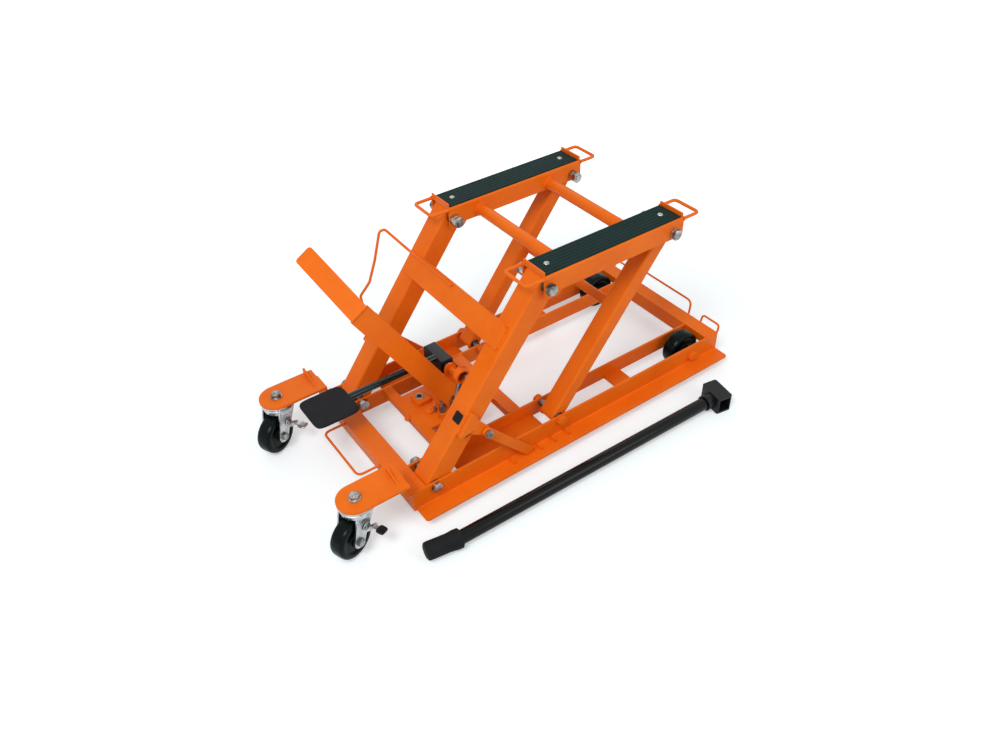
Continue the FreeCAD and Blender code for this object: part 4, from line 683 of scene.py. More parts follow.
# %% Upper pivot bolts
SADDLE_OUTER, SADDLE_INNER, WASHER, BOSS = 169.0, 109.0, 3.0, 9.2
WASHER_RADIUS = 10.0
upper = Shell()
for x in (UPPER[0], UPPER[0] + SPACING):
    for side in SIDES.values():
        out = ACROSS * side
        base = np.array([x, 0.0, UPPER[2]])
        outer, inner = base + out * SADDLE_OUTER, base + out * SADDLE_INNER
        upper.add(disc(WASHER_RADIUS, 0, WASHER, outer, out))
        upper.add(hexagon(HEAD_FLATS, HEAD_HIGH, base + out * (SADDLE_OUTER + WASHER), out, 0.5))
        upper.add(disc(WASHER_RADIUS, 0, BOSS, inner, -out))
        upper.add(hexagon(HEAD_FLATS, NUT_HIGH, base + out * (SADDLE_INNER - BOSS), -out, 0.2))
        upper.add(disc(SHANK, 0, SADDLE_OUTER - SADDLE_INNER, inner, out))
        upper.add(thread(12.0, base + out * (SADDLE_INNER - BOSS - NUT_HIGH - 1.0), out))
upper_bolts = upper.piece("upper_bolts", "platform", "zinc_steel", ZINC)
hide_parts("upper_pivot_bolts", "upper_pivot_nuts")

# %% Lock pins, brackets and struts
PIN_START, PIN_LENGTH = 165.6, 14.8
BRACKET_SPAN, WEB_SPAN, STRUT_SPAN = (165.6, 169.6), (158.6, 169.1), (170.2, 177.2)
STRUT_FOOT = np.array([190.0, 0.0, 24.0])
STRUT_EYE = 8.3


def side_plate(outline, bend, side, span, origin, u, v, edge=0.6):
    """Plate between two distances from the middle plane. Its own direction u x v points to the
    near side, so the distances change sign."""
    low, high = sorted((-side * span[0], -side * span[1]))
    return plate(outline, bend, origin, u, v, low, high, edge)


pins = Shell()
for name, side in SIDES.items():
    out = ACROSS * side
    base = pivot(f"lock_swing_{name}") * MID_PLANE
    pins.add(disc(4.0, 0, PIN_LENGTH, base + out * PIN_START, out))
    pins.add(disc(7.8, 0, 1.2, base + out * (PIN_START + PIN_LENGTH), out, 0.3))
    pins.add(hexagon(13.0, 4.3, base + out * (PIN_START + 15.7), out, 0.4))

brackets = Shell()
arm_foot = LOWER * MID_PLANE
for name, side in SIDES.items():
    x, _, z = pivot(f"lock_swing_{name}") - LOWER
    along, out = x * ALONG[0] + z * ALONG[2], x * OUT[0] + z * OUT[2]
    neck = [(147, 13), (147, 4), (139, -8), (133, -28), (along + 8.5, out - 3), (along + 5, out - 8.5)]
    neck += [(along - 5, out - 8.5), (along - 9, out), (111, -22), (110, -4), (106, 2), (99, 4), (99, 13)]
    brackets.add(side_plate(neck, 3.0, side, BRACKET_SPAN, arm_foot, ALONG, OUT))
    web = [(99.6, 3.0), (146.4, 3.0), (146.4, 12.5), (99.6, 12.5)]
    brackets.add(side_plate(web, 2.0, side, WEB_SPAN, arm_foot, ALONG, OUT))
    pin = pivot(f"lock_swing_{name}") * MID_PLANE
    down = unit(STRUT_FOOT + UP * 4 - pin)
    wide = np.array([-down[2], 0.0, down[0]])
    turn = np.linspace(-1.5, 1.5, 7)[:, None]
    eye = pin + STRUT_EYE * (np.cos(turn) * -down + np.sin(turn) * wide)
    outline = np.concatenate([eye[:, [0, 2]], [(198.5, 35.0), (197.0, 24.2), (183.0, 24.2)]])
    strut = Shell().add(side_plate(outline, 1.6, side, STRUT_SPAN, ORIGIN, LENGTHWISE, UP, 0.9))
    made = strut.piece(f"lock_bar_{name}", f"lock_{name}", "orange_paint", ORANGE)
    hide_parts(f"lock_strut_{name}")
made = brackets.piece("curved_lock_brackets", "front_arms", "orange_paint", ORANGE)
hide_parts("lock_brackets")

# %% The ram's lift pin and the jack's bolts
RAM_OUTER_Y, RAM_MIDDLE_Y, RAM_INNER_Y = -117.0, -88.0, -81.7
LEVER_OUTER_Y, LEVER_INNER_Y = -36.5, -24.5
ram_pin = on_arm(180.0, 0.0, -5.0)
pins.add(disc(5.0, 0, 35.3, ram_pin + ACROSS * RAM_OUTER_Y, ACROSS))
collar = Shell().add(disc(13.0, 0, 2.5, ram_pin + ACROSS * RAM_INNER_Y, ACROSS))
made = collar.piece("ram_pin_collar", "front_arms", "orange_paint", ORANGE)
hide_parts("front_arm_pins")
arm_pins = pins.piece("lock_and_ram_pins", "front_arms", "zinc_steel", ZINC)
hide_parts("front_arm_pins")

lever_place = pivot("pump_lever_pivot") * MID_PLANE
fittings = Shell()
fittings.add(hexagon(HEAD_FLATS, HEAD_HIGH, lever_place + ACROSS * LEVER_OUTER_Y, -ACROSS, 0.6))
fittings.add(disc(SHANK, 0, 12.0, lever_place + ACROSS * LEVER_OUTER_Y, ACROSS))
fittings.add(hexagon(HEAD_FLATS, NUT_HIGH, lever_place + ACROSS * LEVER_INNER_Y, ACROSS, 0.1))
valve = np.array([176.0, 54.0, 61.0])
fittings.add(hexagon(17.0, 6.0, valve, UP, 0.2), disc(5.0, 0, 20.0, valve, UP))
ram_base = pivot("ram_tilt") * MID_PLANE
fittings.add(disc(5.0, 0, 20.8, ram_base - ACROSS * 100.0, ACROSS))
fittings.add(disc(9.0, 0, 2.5, ram_base + ACROSS * RAM_INNER_Y, ACROSS))
jack_pins = fittings.piece("jack_bolts", "base", "zinc_steel", ZINC)
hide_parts("jack_fittings")

# %% Ram rod and its painted eye
EYE_BORE, EYE_OUTER = 9.9, 13.6
eye_low, eye_high = extent("ram_rod")
eye_centre = eye_high * MID_PLANE - [13.0, 0.0, 13.0]
ram_run = unit(eye_centre - ram_base)
rod_length = np.linalg.norm(eye_centre - ram_base)
rod = Shell().add(disc(5.5, 82.0, rod_length - 11.5, ram_base + ACROSS * RAM_MIDDLE_Y, ram_run))
made = rod.piece("chromed_rod", "ram_rod", "zinc_steel", TURNED)
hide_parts("ram_rod")
y0, y1 = eye_low[1], eye_high[1]
ring = eased([(EYE_BORE, y0), (EYE_OUTER, y0), (EYE_OUTER, y1), (EYE_BORE, y1), (EYE_BORE, y0)], 0.3)
made = Shell().add(lathe(ring, eye_centre, ACROSS)).piece("ram_eye", "ram_rod", "orange_paint", ORANGE)
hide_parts("ram_rod")
print("ram rod between", eye_low.round(1), eye_high.round(1))

# %% [markdown]
# ## Wheels
# A moulded wheel is one turned profile: a wide hub, a dished web and a tyre with rounded shoulders.
# A lathe surface shows the shoulders' highlight far better than the plain ring of the frame.

# %% Turned profile of a wheel
def wheel_profile(hub, bore):
    """Half profile from the bore to the middle of the tread, then its mirror image."""
    half = [
        (bore, hub), (10.6, hub), (12.0, hub - 1.2), (12.4, 12.4), (14.0, 11.2), (23.6, 10.6),
        (25.8, 11.6), (26.6, 13.6), (28.4, 14.0), (33.0, 13.8), (36.2, 12.0), (37.6, 8.4), (38.0, 3.0),
    ]
    side = eased(half, 1.1, 4)
    mirror = side[::-1] * [1, -1]
    return np.concatenate([side, mirror, side[:1]])


for name in SIDES:
    roll = f"caster_roll_{name}"
    ring = lathe(wheel_profile(17.6, 5.05), pivot(roll), JOINTS[roll]["axis"], 96)
    wheel = Shell().add(ring).piece(f"caster_tyre_{name}", f"caster_wheel_{name}", "wheel_black", WHEEL)
    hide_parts(f"caster_wheel_{name}")
    ring = lathe(wheel_profile(26.0, 6.05), pivot(f"rear_wheel_roll_{name}"), ACROSS, 96)
    wheel = Shell().add(ring).piece(f"rear_tyre_{name}", f"rear_wheel_{name}", "wheel_black", WHEEL)
    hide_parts(f"rear_wheel_{name}")

# %% [markdown]
# ## Casters
# The fork is pressed from plate: a dished crown over a ball race, and two legs that taper to the
# axle with a rounded end. The stem's bolt holds the swivel plate under the orange bracket.

# %% Fork, race, axle and stem
CROWN_LOW, BRACKET_HIGH = 90.0, 108.0
WHEEL_HIGH, LEG_INNER, LEG_OUTER, LEG_TOP, LEG_END = 38.0, 18.0, 21.0, 20.0, 12.5


def leg_sheet(depth, trail):
    """Tapered leg: the half width shrinks from the crown to the axle and closes in a half circle
    past it. Rows run down the leg, columns across it."""
    top = np.array([0.0, CROWN_LOW + 3.0])
    run = np.array([trail, WHEEL_HIGH]) - top
    length = np.linalg.norm(run)
    run /= length
    side = np.array([-run[1], run[0]])
    past = LEG_END * np.sin(np.linspace(0, math.pi / 2, 12))
    down = np.concatenate([np.linspace(0, length, 24), length + past[1:]])
    share = np.clip(down / length, 0, 1)
    width = LEG_TOP + (LEG_END - LEG_TOP) * (share * share * (3 - 2 * share))
    width = np.where(down > length, np.sqrt(np.maximum(LEG_END ** 2 - (down - length) ** 2, 0)), width)
    t = np.linspace(-1, 1, 9)
    flat = top + down[:, None, None] * run + (width[:, None] * t)[..., None] * side
    return np.stack([flat[..., 0], np.full(flat.shape[:2], depth), flat[..., 1]], -1)


def caster_frame(name):
    """How far the wheel trails behind the stem, and a function that takes a grid modelled about the
    stem, with the wheel trailing along X, to the caster's place: (x c - y s, x s + y c) + stem."""
    stem = pivot(f"caster_swivel_{name}")
    offset = (pivot(f"caster_roll_{name}") - stem)[:2]
    trail = np.linalg.norm(offset)
    c, s = offset / trail

    def placed(grid):
        """The grid turned by the heading and moved to the stem."""
        x, y = grid[..., 0] * c - grid[..., 1] * s, grid[..., 0] * s + grid[..., 1] * c
        return np.stack([x + stem[0], y + stem[1], grid[..., 2]], -1)

    return trail, placed


crown_profile = [(0, 96.6), (26.5, 96.6), (29.4, 95.4), (30.2, 93.4), (29.0, 91.4), (28.6, 86.0)]
crown_profile += [(26.0, 81.5), (24.6, 81.5), (26.6, 86.5), (26.6, 90.0), (0, 90.0)]
crown = lathe(eased(crown_profile, 0.9, 4), ORIGIN, UP)
plate_profile = [(0, 103), (28.6, 103), (30.4, 102.2), (31.2, 100.4), (29.8, 98.6), (27.4, 97.6)]
plate_profile = eased(plate_profile + [(24.0, 97.0), (0, 97.0)], 0.8, 4)
rivet_head = eased([(0, 0), (6, 0), (5.6, 0.8), (3, 1.5), (0, 1.6)], 0.4, 4)
RIVET = np.array([8.0, 0.0, 60.0])
AXLE_NUT, AXLE_WASHER = 14.0, 1.4
BRAKE_SPAN = (-24.2, -21.5)
TAB_HIGH = 44.6
TAB_FINISH = {"near": ("black_paint", BLACK_SATIN), "far": ("zinc_steel", PRESSED)}
brake_arm = [(2, 66), (8, 68.5), (14, 66), (16, 59), (10, 49), (-1, 42.4)]
brake_arm += [(-15, 42.4), (-16, 46.5), (-4, 49), (0, 58)]
brake_shank = [(-13.5, 22.0), (-3.5, 22.0), (-5.0, 34.0), (-12.0, 34.0)]

for name in SIDES:
    trail, placed = caster_frame(name)
    fork = Shell().add(placed(crown))
    for face in (1.0, -1.0):
        fork.add_slab(*(placed(leg_sheet(face * depth, trail)) for depth in (LEG_OUTER, LEG_INNER)))
    made = fork.piece(f"pressed_fork_{name}", f"caster_{name}", "zinc_steel", PRESSED)
    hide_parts(f"caster_fork_{name}")

    centre = np.array([trail, 0.0, WHEEL_HIGH])
    washer_face = centre - ACROSS * (LEG_OUTER + AXLE_WASHER)
    axle_set = Shell()
    axle_set.add(placed(disc(5.0, -LEG_OUTER, LEG_OUTER, centre, ACROSS)))
    axle_set.add(placed(disc(11.0, LEG_OUTER, LEG_OUTER + AXLE_WASHER, centre, -ACROSS, 0.4)))
    axle_set.add(placed(hexagon(AXLE_NUT, 4.8, washer_face, -ACROSS, 0.2)))
    axle_set.add(placed(hexagon(AXLE_NUT, 5.0, centre + ACROSS * LEG_OUTER, ACROSS, 0.5)))
    axle_set.add(placed(disc(3.0, LEG_INNER, 24.8, RIVET, ACROSS)))
    axle_set.add(placed(lathe(rivet_head, RIVET + ACROSS * 24.6, ACROSS)))
    brake = Shell()
    brake.add(placed(plate(brake_arm, 3.0, ORIGIN, LENGTHWISE, UP, *BRAKE_SPAN)))
    brake.add(placed(plate(brake_shank, 2.0, UP * TAB_HIGH, LENGTHWISE, ACROSS, -1.3, 1.3)))
    made = brake.piece(f"brake_arm_{name}", f"brake_{name}", "zinc_steel", PRESSED)
    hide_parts(f"caster_brake_{name}")
    tab = pillow((-8.5, 39.0, TAB_HIGH), 8.5, 8.3, 2.3, LENGTHWISE, ACROSS, 4.0, 12.0)
    slot, finish = TAB_FINISH[name]
    made = Shell().add(placed(tab)).piece(f"brake_tab_{name}", f"brake_{name}", slot, finish)
    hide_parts(f"caster_brake_{name}")
    made = axle_set.piece(f"caster_pins_{name}", f"caster_{name}", "zinc_steel", ZINC)
    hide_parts(f"caster_axle_{name}")

# %% Stem bolts and race rings
stems, races = Shell(), Shell()
for name in SIDES:
    stem = pivot(f"caster_swivel_{name}") * [1, 1, 0]
    races.add(lathe(plate_profile, stem, UP))
    stems.add(disc(10.8, BRACKET_HIGH, BRACKET_HIGH + 2, stem, UP))
    stems.add(hexagon(16.0, 7.0, stem + UP * (BRACKET_HIGH + 2), UP, 0.25))
    stems.add(disc(5.9, CROWN_LOW - 4, BRACKET_HIGH + 9.8, stem, UP, 0.9))
    stems.add(disc(10.0, CROWN_LOW - 4.4, CROWN_LOW - 0.5, stem, UP))
made = stems.piece("caster_stem_bolts", "base", "zinc_steel", ZINC)
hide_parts("caster_stems")
made = races.piece("caster_race_rings", "base", "zinc_steel", PRESSED)
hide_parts("caster_stems")

# %% [markdown]
# ## Ribbed mats and their rivets
# Each saddle carries a strip of ribbed rubber. Its height is a wave across the strip that fades out
# at the border and dips round the rivets that hold it down, which a plain box of ribs can't show.

# %% Mat surface
RIVET_X = np.array([16.5, 264.7]) + UPPER[0]
MIDDLE_Y = 139.0


def mat_height(x, y, low, high, base, rib):
    """Ribs across the strip, an eased border and a dip at each rivet."""
    count = 7
    share = (y - low[1]) / (high[1] - low[1])
    wave = 0.5 - 0.5 * np.cos(2 * math.pi * count * np.clip(share, 0, 1))
    ribs = rib * np.clip(wave * 6.0 - 0.2, 0, 1)
    border = np.minimum.reduce([x - low[0], high[0] - x, y - low[1], high[1] - y])
    fade = np.clip(border / 2.2, 0, 1)
    for rivet in RIVET_X:
        away = np.hypot(x - rivet, y - np.sign(y) * MIDDLE_Y)
        ribs = ribs * np.clip((away - 6.0) / 4.0, 0, 1)
    return base * np.clip(0.45 + border / 0.8, 0, 1) + ribs * fade


for name in SIDES:
    low, high = extent(f"mat_{name}")
    x = np.linspace(low[0] + 4, high[0] - 4, 150)
    x = np.concatenate([low[0] + [0, 0.4, 0.9, 2.2], x, high[0] - [2.2, 0.9, 0.4, 0]])
    y = np.linspace(low[1] + 1.4, high[1] - 1.4, 133)
    y = np.concatenate([low[1] + [0, 0.4, 0.9], y, high[1] - [0.9, 0.4, 0]])
    gx, gy = np.meshgrid(x, y, indexing="ij")
    top = np.stack([gx, gy, low[2] + mat_height(gx, gy, low, high, 1.7, 0.65)], -1)
    bottom = np.stack([gx, gy, np.full(gx.shape, low[2])], -1)
    made = Shell().add_slab(top, bottom).piece(f"ribbed_mat_{name}", "platform", "mat_rubber", MAT, 50.0)
    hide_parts(f"mat_{name}")

dome = [(0, -1.8), (5.0, -1.8), (5.0, 0.2), (4.2, 1.2), (2.4, 1.6), (1.6, 1.6), (1.3, 1.0), (0, 1.0)]
dome = eased(dome, 0.3, 4)
rivets = Shell()
for side in SIDES.values():
    for x in RIVET_X:
        rivets.add(lathe(dome, (x, side * MIDDLE_Y, low[2] + 2.2), UP))
made = rivets.piece("mat_rivet_heads", "platform", "zinc_steel", ZINC)
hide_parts("mat_rivets")

# %% [markdown]
# ## Wire loops, release rod and cross tubes
# Strap loops are bent from 4.5 to 6 mm wire and the release rod from 5 mm. A circle carried along a path
# with eased corners keeps the wire's thickness through every bend.

# %% Loops of the base
DECK_X = (UPPER[0] - 10.0, UPPER[0] + SPACING + 21.0)
DECK_HIGH = UPPER[2] + 23.5
RAIL_REAR_X = extent("rail_outer_far")[1][0]
FOOT_HIGH = 55.5


def bent(points, bend, radius):
    """Wire: a circle carried along the eased path, in even steps."""
    return tube(evenly(eased(points, bend, 9), 1.6), radius)


def rear_loop_path(y0, y1, top):
    """Straight out of the rail's end, up to top, across from y0 to y1 and back down."""
    x0, x1, x2 = RAIL_REAR_X, RAIL_REAR_X + 6.0, RAIL_REAR_X + 9.5
    low = [(x0, y0, FOOT_HIGH), (x1, y0, FOOT_HIGH), (x2, y0, top)]
    return low + [(x2, y1, top), (x1, y1, FOOT_HIGH), (x0, y1, FOOT_HIGH)]


wires = Shell()
front_loop = [(-51, -66), (-98, -66), (-98, 66), (-51, 66)]
wires.add(bent([(x, y, FOOT_HIGH) for x, y in front_loop], 12.0, 2.3))
wires.add(bent(rear_loop_path(-77.0, 77.0, 86.5), [4, 4, 13, 13, 4, 4], 2.2))
for side in SIDES.values():
    wires.add(bent(rear_loop_path(side * 112.0, side * 158.0, 71.5), [4, 4, 10, 10, 4, 4], 2.2))
made = wires.piece("base_wire_loops", "base", "orange_paint", ORANGE)
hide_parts("base_loops")


# %% Saddle ends: loops and turned-up lips
def lip(x0, x1, y0, y1, z0, z1):
    """Plate edge with an eased top, as a rounded section carried across the saddle."""
    section = eased([(x0, z0), (x1, z0), (x1, z1), (x0, z1)], [0.2, 0.2, 1.2, 1.2], 4, True)[:-1]
    return capped(np.stack([np.insert(section, 1, y, axis=1) for y in (y0, y1)]))


ends = Shell()
LOOP_HIGH, LOOP_REACH, LOOP_RADIUS = DECK_HIGH - 3.0, 36.0, 3.0
LOOP_SIDES = (110.5, 167.5)
LIP_RISE = extent("saddle_ends")[1][2] - DECK_HIGH
for side in SIDES.values():
    for root, reach in ((DECK_X[0], -LOOP_REACH), (DECK_X[1], LOOP_REACH)):
        y0, y1 = (side * y for y in LOOP_SIDES)
        path = [(root, y0), (root + reach, y0), (root + reach, y1), (root, y1)]
        ends.add(bent([(x, y, LOOP_HIGH) for x, y in path], 8.0, LOOP_RADIUS))
    y0, y1 = sorted((side * 112.0, side * 166.0))
    ends.add(lip(DECK_X[0], DECK_X[0] + 3, y0, y1, DECK_HIGH - 0.5, DECK_HIGH + LIP_RISE))
    ends.add(lip(DECK_X[1] - 3, DECK_X[1], y0, y1, DECK_HIGH - 0.5, DECK_HIGH + LIP_RISE))
made = ends.piece("saddle_loops_and_lips", "platform", "orange_paint", ORANGE)
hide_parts("saddle_ends")

# %% Release rod
ROD_Y, ROD_REST = 178.0, 24.9
rod_points = [on_arm(298.0, 8.0, ROD_REST), on_arm(298.0, 152.0, ROD_REST)]
rod_bends = ((313.7, 76.2), (306.2, 84.3), (253.0, 64.7), (210.2, 53.0), (179.1, 57.3))
rod_points += [on_arm(along, ROD_Y, out) for along, out in rod_bends]
rod_points.append(on_arm(128.6, 168.0, 15.5))
made = Shell().add(bent(rod_points, 7.0, 2.5)).piece("bent_release_rod", "front_arms", "orange_paint", ORANGE)
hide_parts("release_rod")

# %% Tubes between the saddles, and the round bar between the rear arms
TUBE_PLACES, TUBE_RADIUS = (59.0, 217.0), 11.0
BAR_ALONG, BAR_OUT, BAR_RADIUS = 226.0, -4.5, 9.0
tubes = Shell()
for ahead in TUBE_PLACES:
    middle = (UPPER[0] + ahead, 0.0, UPPER[2])
    tubes.add(disc(TUBE_RADIUS, -SADDLE_INNER, SADDLE_INNER, middle, ACROSS, 0.5, 64))
bar_middle = on_arm(BAR_ALONG, 0.0, BAR_OUT, REAR_LOWER)
bar = Shell().add(disc(BAR_RADIUS, -120.0, 120.0, bar_middle, ACROSS, 0.5, 64))
made = bar.piece("rear_arm_bar", "rear_arms", "orange_paint", ORANGE)
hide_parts("rear_cross_bar")
made = tubes.piece("saddle_cross_tubes", "platform", "orange_paint", ORANGE)
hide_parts("cross_tubes")


# %% [markdown]
# ## Welds
# The frame is welded, and the beads show under the paint as rippled fillets. A bead is a tube along
# the joint whose radius rises and falls with every step of the weld.

# %% Rippled beads along the joints
RIPPLE = 2.1


def bead(path, radius=2.0, closed=False, seed=0):
    """Tube whose radius is r (1 + 0.13 sin) along the joint, with a slow wander and tapered ends."""
    path = evenly(path, 0.5)
    at = np.arange(len(path)) * 0.5
    wave = 1 + 0.13 * np.sin(2 * math.pi * at / RIPPLE + seed) + 0.07 * np.sin(at * 0.37 + seed * 1.7)
    ends = np.ones(len(path))
    if not closed:
        ends = np.sqrt(np.clip(np.minimum(at, at[-1] - at) / 1.6, 0.02, 1))
    return tube(path, radius * wave * ends, 10)


def ring_path(centre, axis, radius):
    """Circle round an axis, closed by its first point."""
    ring = lathe([(radius, 0)], centre, axis, 49)[0]
    return np.concatenate([ring, ring[:1]])


base_welds = Shell()
for number, side in enumerate(SIDES.values()):
    for x0, x1 in ((46.0, 64.0), (200.0, 225.0)):
        base_welds.add(bead([(x0 + 1, side * 99.4, 61.0), (x1 - 1, side * 99.4, 61.0)], 1.8, seed=number))
    y0, y1 = side * 123.0, side * 158.0
    base_welds.add(bead([(-34.0, y0, 61.4), (-34.0, y1, 61.4)], 2.3, seed=3))
    for x in (153.8, 214.0, 247.0, 278.5):
        for at in (x - 2.2, x + 2.2):
            base_welds.add(bead([(at, side * 169.0, 22.2), (at, side * 181.0, 22.2)], 1.3, seed=x))
    for x0, x1 in ((60.0, 250.0), (430.0, 470.0)):
        for y in (104.6, 160.0):
            base_welds.add(bead([(x0 + 2, side * y, 32.2), (x1 - 2, side * y, 32.2)], 1.5, seed=y))
    for y in (66.0, 77.0, 112.0, 158.0):
        x = -55.0 if y == 66.0 else RAIL_REAR_X
        base_welds.add(bead(ring_path((x, side * y, FOOT_HIGH), LENGTHWISE, 3.0), 1.2, seed=y))
    base_welds.add(bead([(-45.0, side * 105.0, 24.0), (-45.0, side * 105.0, 54.0)], 1.6, seed=5))
    base_welds.add(bead([(-43.0, side * 160.0, 20.0), (-43.0, side * 160.0, 56.0)], 1.6, seed=6))
    base_welds.add(bead([(-53.0, side * 160.6, 61.0), (-20.0, side * 160.6, 61.0)], 1.8, seed=7))
    rear_x = RAIL_REAR_X - 32.0
    base_welds.add(bead([(rear_x, side * 160.6, 61.0), (RAIL_REAR_X - 1, side * 160.6, 61.0)], 1.8, seed=8))
base_welds.piece("base_weld_beads", "base", "orange_paint", ORANGE, 60.0)

arm_welds, bar_welds, top_welds = Shell(), Shell(), Shell()
for number, side in enumerate(SIDES.values()):
    for along in (259.0, 303.0):
        ends = [on_arm(along, side * across, 17.3) for across in (119.0, 147.0)]
        arm_welds.add(bead(ends, 2.0, seed=along))
    arm_welds.add(bead([on_arm(262.0, side * 150.0, 17.3), on_arm(293.0, side * 150.0, 17.3)], 2.0, seed=2))
    arm_welds.add(bead([on_arm(100.0, side * 159.4, 13.3), on_arm(144.0, side * 159.4, 13.3)], 1.7, seed=4))
    bar_end = on_arm(BAR_ALONG, side * 119.4, BAR_OUT, REAR_LOWER)
    bar_welds.add(bead(ring_path(bar_end, ACROSS, BAR_RADIUS + 0.4), 2.0, True, number))
    for ahead in TUBE_PLACES:
        centre = (UPPER[0] + ahead, side * (SADDLE_INNER - 0.4), UPPER[2])
        top_welds.add(bead(ring_path(centre, ACROSS, TUBE_RADIUS + 0.4), 1.9, True, ahead))
    for x in DECK_X:
        for y in LOOP_SIDES:
            ring = ring_path((x, side * y, LOOP_HIGH), LENGTHWISE, LOOP_RADIUS + 0.3)
            top_welds.add(bead(ring, 1.1, True, y))
arm_welds.piece("front_arm_weld_beads", "front_arms", "orange_paint", ORANGE, 60.0)
bar_welds.piece("rear_arm_weld_beads", "rear_arms", "orange_paint", ORANGE, 60.0)
top_welds.piece("platform_weld_beads", "platform", "orange_paint", ORANGE, 60.0)

# %% [markdown]
# ## Folded edge of the rear cross-member
# The rear cross-member is folded down on its front side too: deep between the inner rails, and
# short over the wheels. It is the tall orange face that shows below the top of the member. The
# member could be cut and bent anew, but three plates with eased edges give the same face, and the
# frame's own channel stays whole behind them.

# %% Fold between the walls
fold = Shell()
FOLD_X = (RAIL_REAR_X - 34.4, RAIL_REAR_X - 31.0)
FOLD_TOP = 63.9
for y0, y1, low_edge in ((-99.4, 99.4, 33.0), (-159.8, -104.6, 46.0), (104.6, 159.8, 46.0)):
    sheet = [(y0, low_edge), (y1, low_edge), (y1, FOLD_TOP), (y0, FOLD_TOP)]
    fold.add(plate(sheet, 0.8, ORIGIN, ACROSS, UP, *FOLD_X, 0.5))
fold.piece("rear_member_fold", "base", "orange_paint", ORANGE)

# %% [markdown]
# ## Pads under the foot
# The release pedal ends in a moulded rubber pad, and a small rubber stop sits on the near front arm.
# Both are flat pillows: a rounded outline, and a top that turns down only near its edge.

# %% Rounded pads
low, high = extent("release_pad")
middle, half = (low + high) / 2, (high - low) / 2
pad = Shell().add(pillow(middle, *half, LENGTHWISE, ACROSS, 7.0, 24.0))
made = pad.piece("release_foot_pad", "release_pedal", "pad_rubber", PAD)
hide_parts("release_pad")
shaft_place = pivot("release_pedal_pivot") * [1, 0, 1]
hub = [(-14, -14), (14, -14), (14, 14), (-14, 14)]
bar = Shell().add(plate(hub, 4.0, shaft_place, LENGTHWISE, UP, -108.0, -44.0, 1.2))
made = bar.piece("release_hub", "release_pedal", "black_paint", BLACK_SATIN)
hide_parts("release_arm")
bar = Shell().add(tube(evenly([(148, 68, 110.3), (-62, 68, 110.3)], 6.0), 7.0, 40))
made = bar.piece("release_bar", "release_pedal", "black_paint", BLACK_GREEN)
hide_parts("release_arm")
nut = Shell().add(hexagon(15.0, 5.0, shaft_place + ACROSS * 44.0, -ACROSS, 0.2))
nut.piece("release_nut", "release_pedal", "zinc_steel", ZINC)

LEVER = unit(np.array([-30.8, 0.0, 352.0]) - lever_place)
LEVER_EDGE, LEVER_HALF = np.array([LEVER[2], 0.0, -LEVER[0]]), 18.6
web = [(28, -30.5), (246, -30.5), (238, -16.0), (28, -16.0)]
folded = Shell().add(plate(web, 1.0, lever_place + LEVER_EDGE * LEVER_HALF, LEVER, ACROSS, 0, 3.0, 0.5))
side_sheet = [(-14, -12), (-14, 12), (10, LEVER_HALF), (238, LEVER_HALF), (226, -4)]
side_sheet += [(30, -LEVER_HALF), (0, -16)]
folded.add(plate(side_sheet, 3.0, lever_place, LEVER, LEVER_EDGE, 16.0, 19.0, 0.5))
folded.piece("lever_channel", "pump_lever", "orange_paint", ORANGE)

stop = Shell().add(pillow(on_arm(126.5, -147.6, 18.5), 9.5, 9.5, 1.5, ALONG, ACROSS, 9.0, 14.0))
made = stop.piece("arm_stop_pad", "front_arms", "pad_rubber", PAD)
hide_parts("arm_pad")

# %% [markdown]
# ## Pump details
# On the bed stand a small valve block with a plugged port, a spring post and the end of a filler
# pipe. They are castings and turned parts under the same paint, so rounded plates and lathe
# profiles make them.

# %% Valve block, plug, post and pipe end
block = Shell()
BED_HIGH = 60.5
big_block = [(74, 14), (104, 14), (104, 46), (74, 46)]
small_block = [(104, -24), (120, -24), (120, 6), (104, 6)]
post = [(0, 0), (9.5, 0), (9.5, 4), (7.5, 6.5), (0, 6.5)]
block.add(plate(big_block, 4.0, UP * BED_HIGH, LENGTHWISE, ACROSS, 0, 9.5, 1.2))
block.add(plate(small_block, 3.0, UP * BED_HIGH, LENGTHWISE, ACROSS, 0, 13.0, 1.2))
block.add(lathe(eased(post, 0.8), (86.0, -6.0, BED_HIGH), UP))
pipe = [(66, 5, 50), (56, 5, 50), (50, 5, 52), (43, 5, 60)]
block.add(tube(evenly(eased(pipe, 6.0, 7), 1.5), 4.2))
run = unit(np.array(pipe[3]) - pipe[2])
pipe_end = [(4.0, -5), (6.2, -5), (6.4, 0), (5.6, 1.2), (3.4, 1.2), (3.2, -3), (0, -3)]
block.add(lathe(eased(pipe_end, 0.4), pipe[3], run))
block.piece("valve_block", "base", "orange_paint", ORANGE)
port = np.array([87.0, 31.0, BED_HIGH + 9.0])
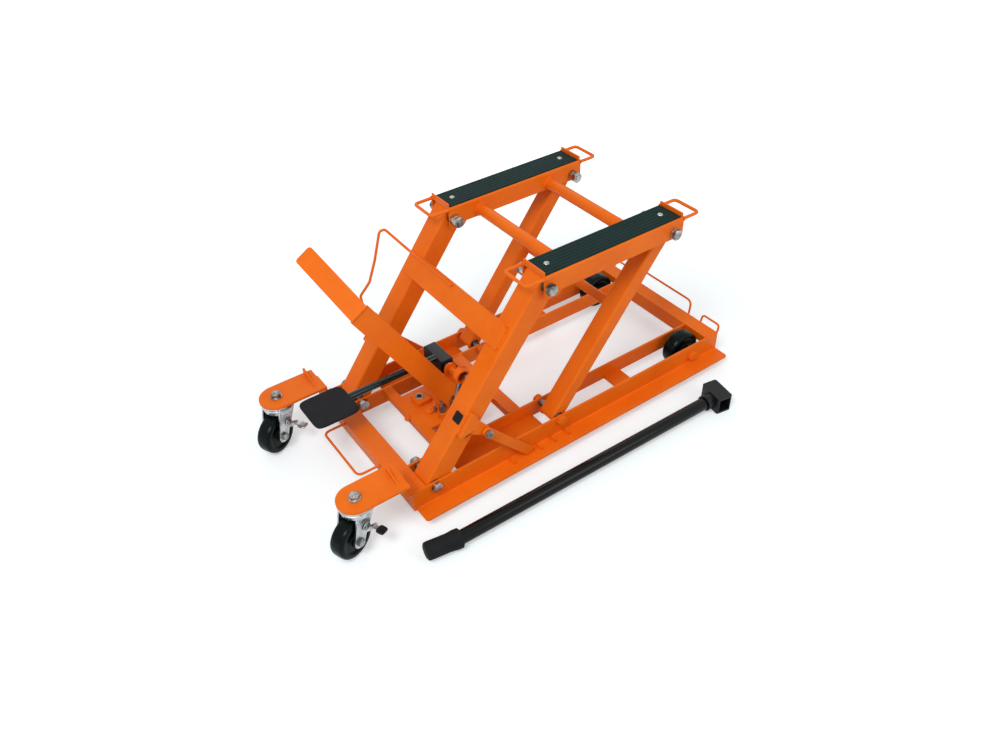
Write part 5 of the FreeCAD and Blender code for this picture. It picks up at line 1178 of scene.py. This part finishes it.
PORT_AXIS = (-0.3, -0.4, 1)
plug_profile = eased([(0, 0), (7, 0), (7, 3.4), (4.6, 3.4), (4.2, 0.8), (0, 0.8)], 0.4)
plug = Shell().add(lathe(plug_profile, port, PORT_AXIS))
plug.add(disc(3.4, 0, 12, (93.0, -14.0, BED_HIGH), UP))
plug.add(hexagon(8.0, 4.0, (112.0, -9.0, BED_HIGH + 13), UP))
plug.piece("valve_plug", "base", "zinc_steel", ZINC)
# A black disc at the bottom of the plug's recess: painted shade for the depth of the hole.
hole_shade = Shell().add(disc(4.1, 0.9, 1.5, port, PORT_AXIS))
hole_shade.piece("plug_hole_shade", "base", "black_paint", BLACK_SATIN)

# %% [markdown]
# ## Tow handle
# The handle lies on the floor: a gloss black tube with a foam grip, and at its far end a square
# socket that hooks the lift. The grip swells a little at its ends and has a flat cap.

# %% Grip and tube
HANDLE_HIGH, SHAFT_RADIUS = 17.5, 12.5
GRIP_START = np.array([-78.0, -248.0, HANDLE_HIGH])
GRIP_END = np.array([-14.0, -258.0, HANDLE_HIGH])
TUBE_END = np.array([556.0, -269.0, HANDLE_HIGH])
run = TUBE_END - GRIP_END
tube_length = np.linalg.norm(run)
shaft_profile = [(0, -16), (SHAFT_RADIUS, -16), (SHAFT_RADIUS, tube_length), (0, tube_length)]
shaft = Shell().add(lathe(eased(shaft_profile, 0.4, 4), GRIP_END, run, 72))
made = shaft.piece("handle_shaft", "tow_handle", "black_paint", BLACK)
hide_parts("tow_tube")
grip_run = GRIP_END - GRIP_START
grip_length = np.linalg.norm(grip_run)
grip_profile = eased(
    [
        (0, 0), (11.5, 0), (15.4, 2.2), (16.2, 6), (16.0, grip_length - 24), (16.6, grip_length - 17),
        (17.5, grip_length - 12), (17.5, grip_length - 2), (15.5, grip_length), (0, grip_length),
    ],
    1.4,
    5,
)
grip = Shell().add(lathe(grip_profile, GRIP_START, grip_run, 72))
made = grip.piece("handle_grip", "tow_handle", "grip_rubber", GRIP)
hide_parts("tow_grip")
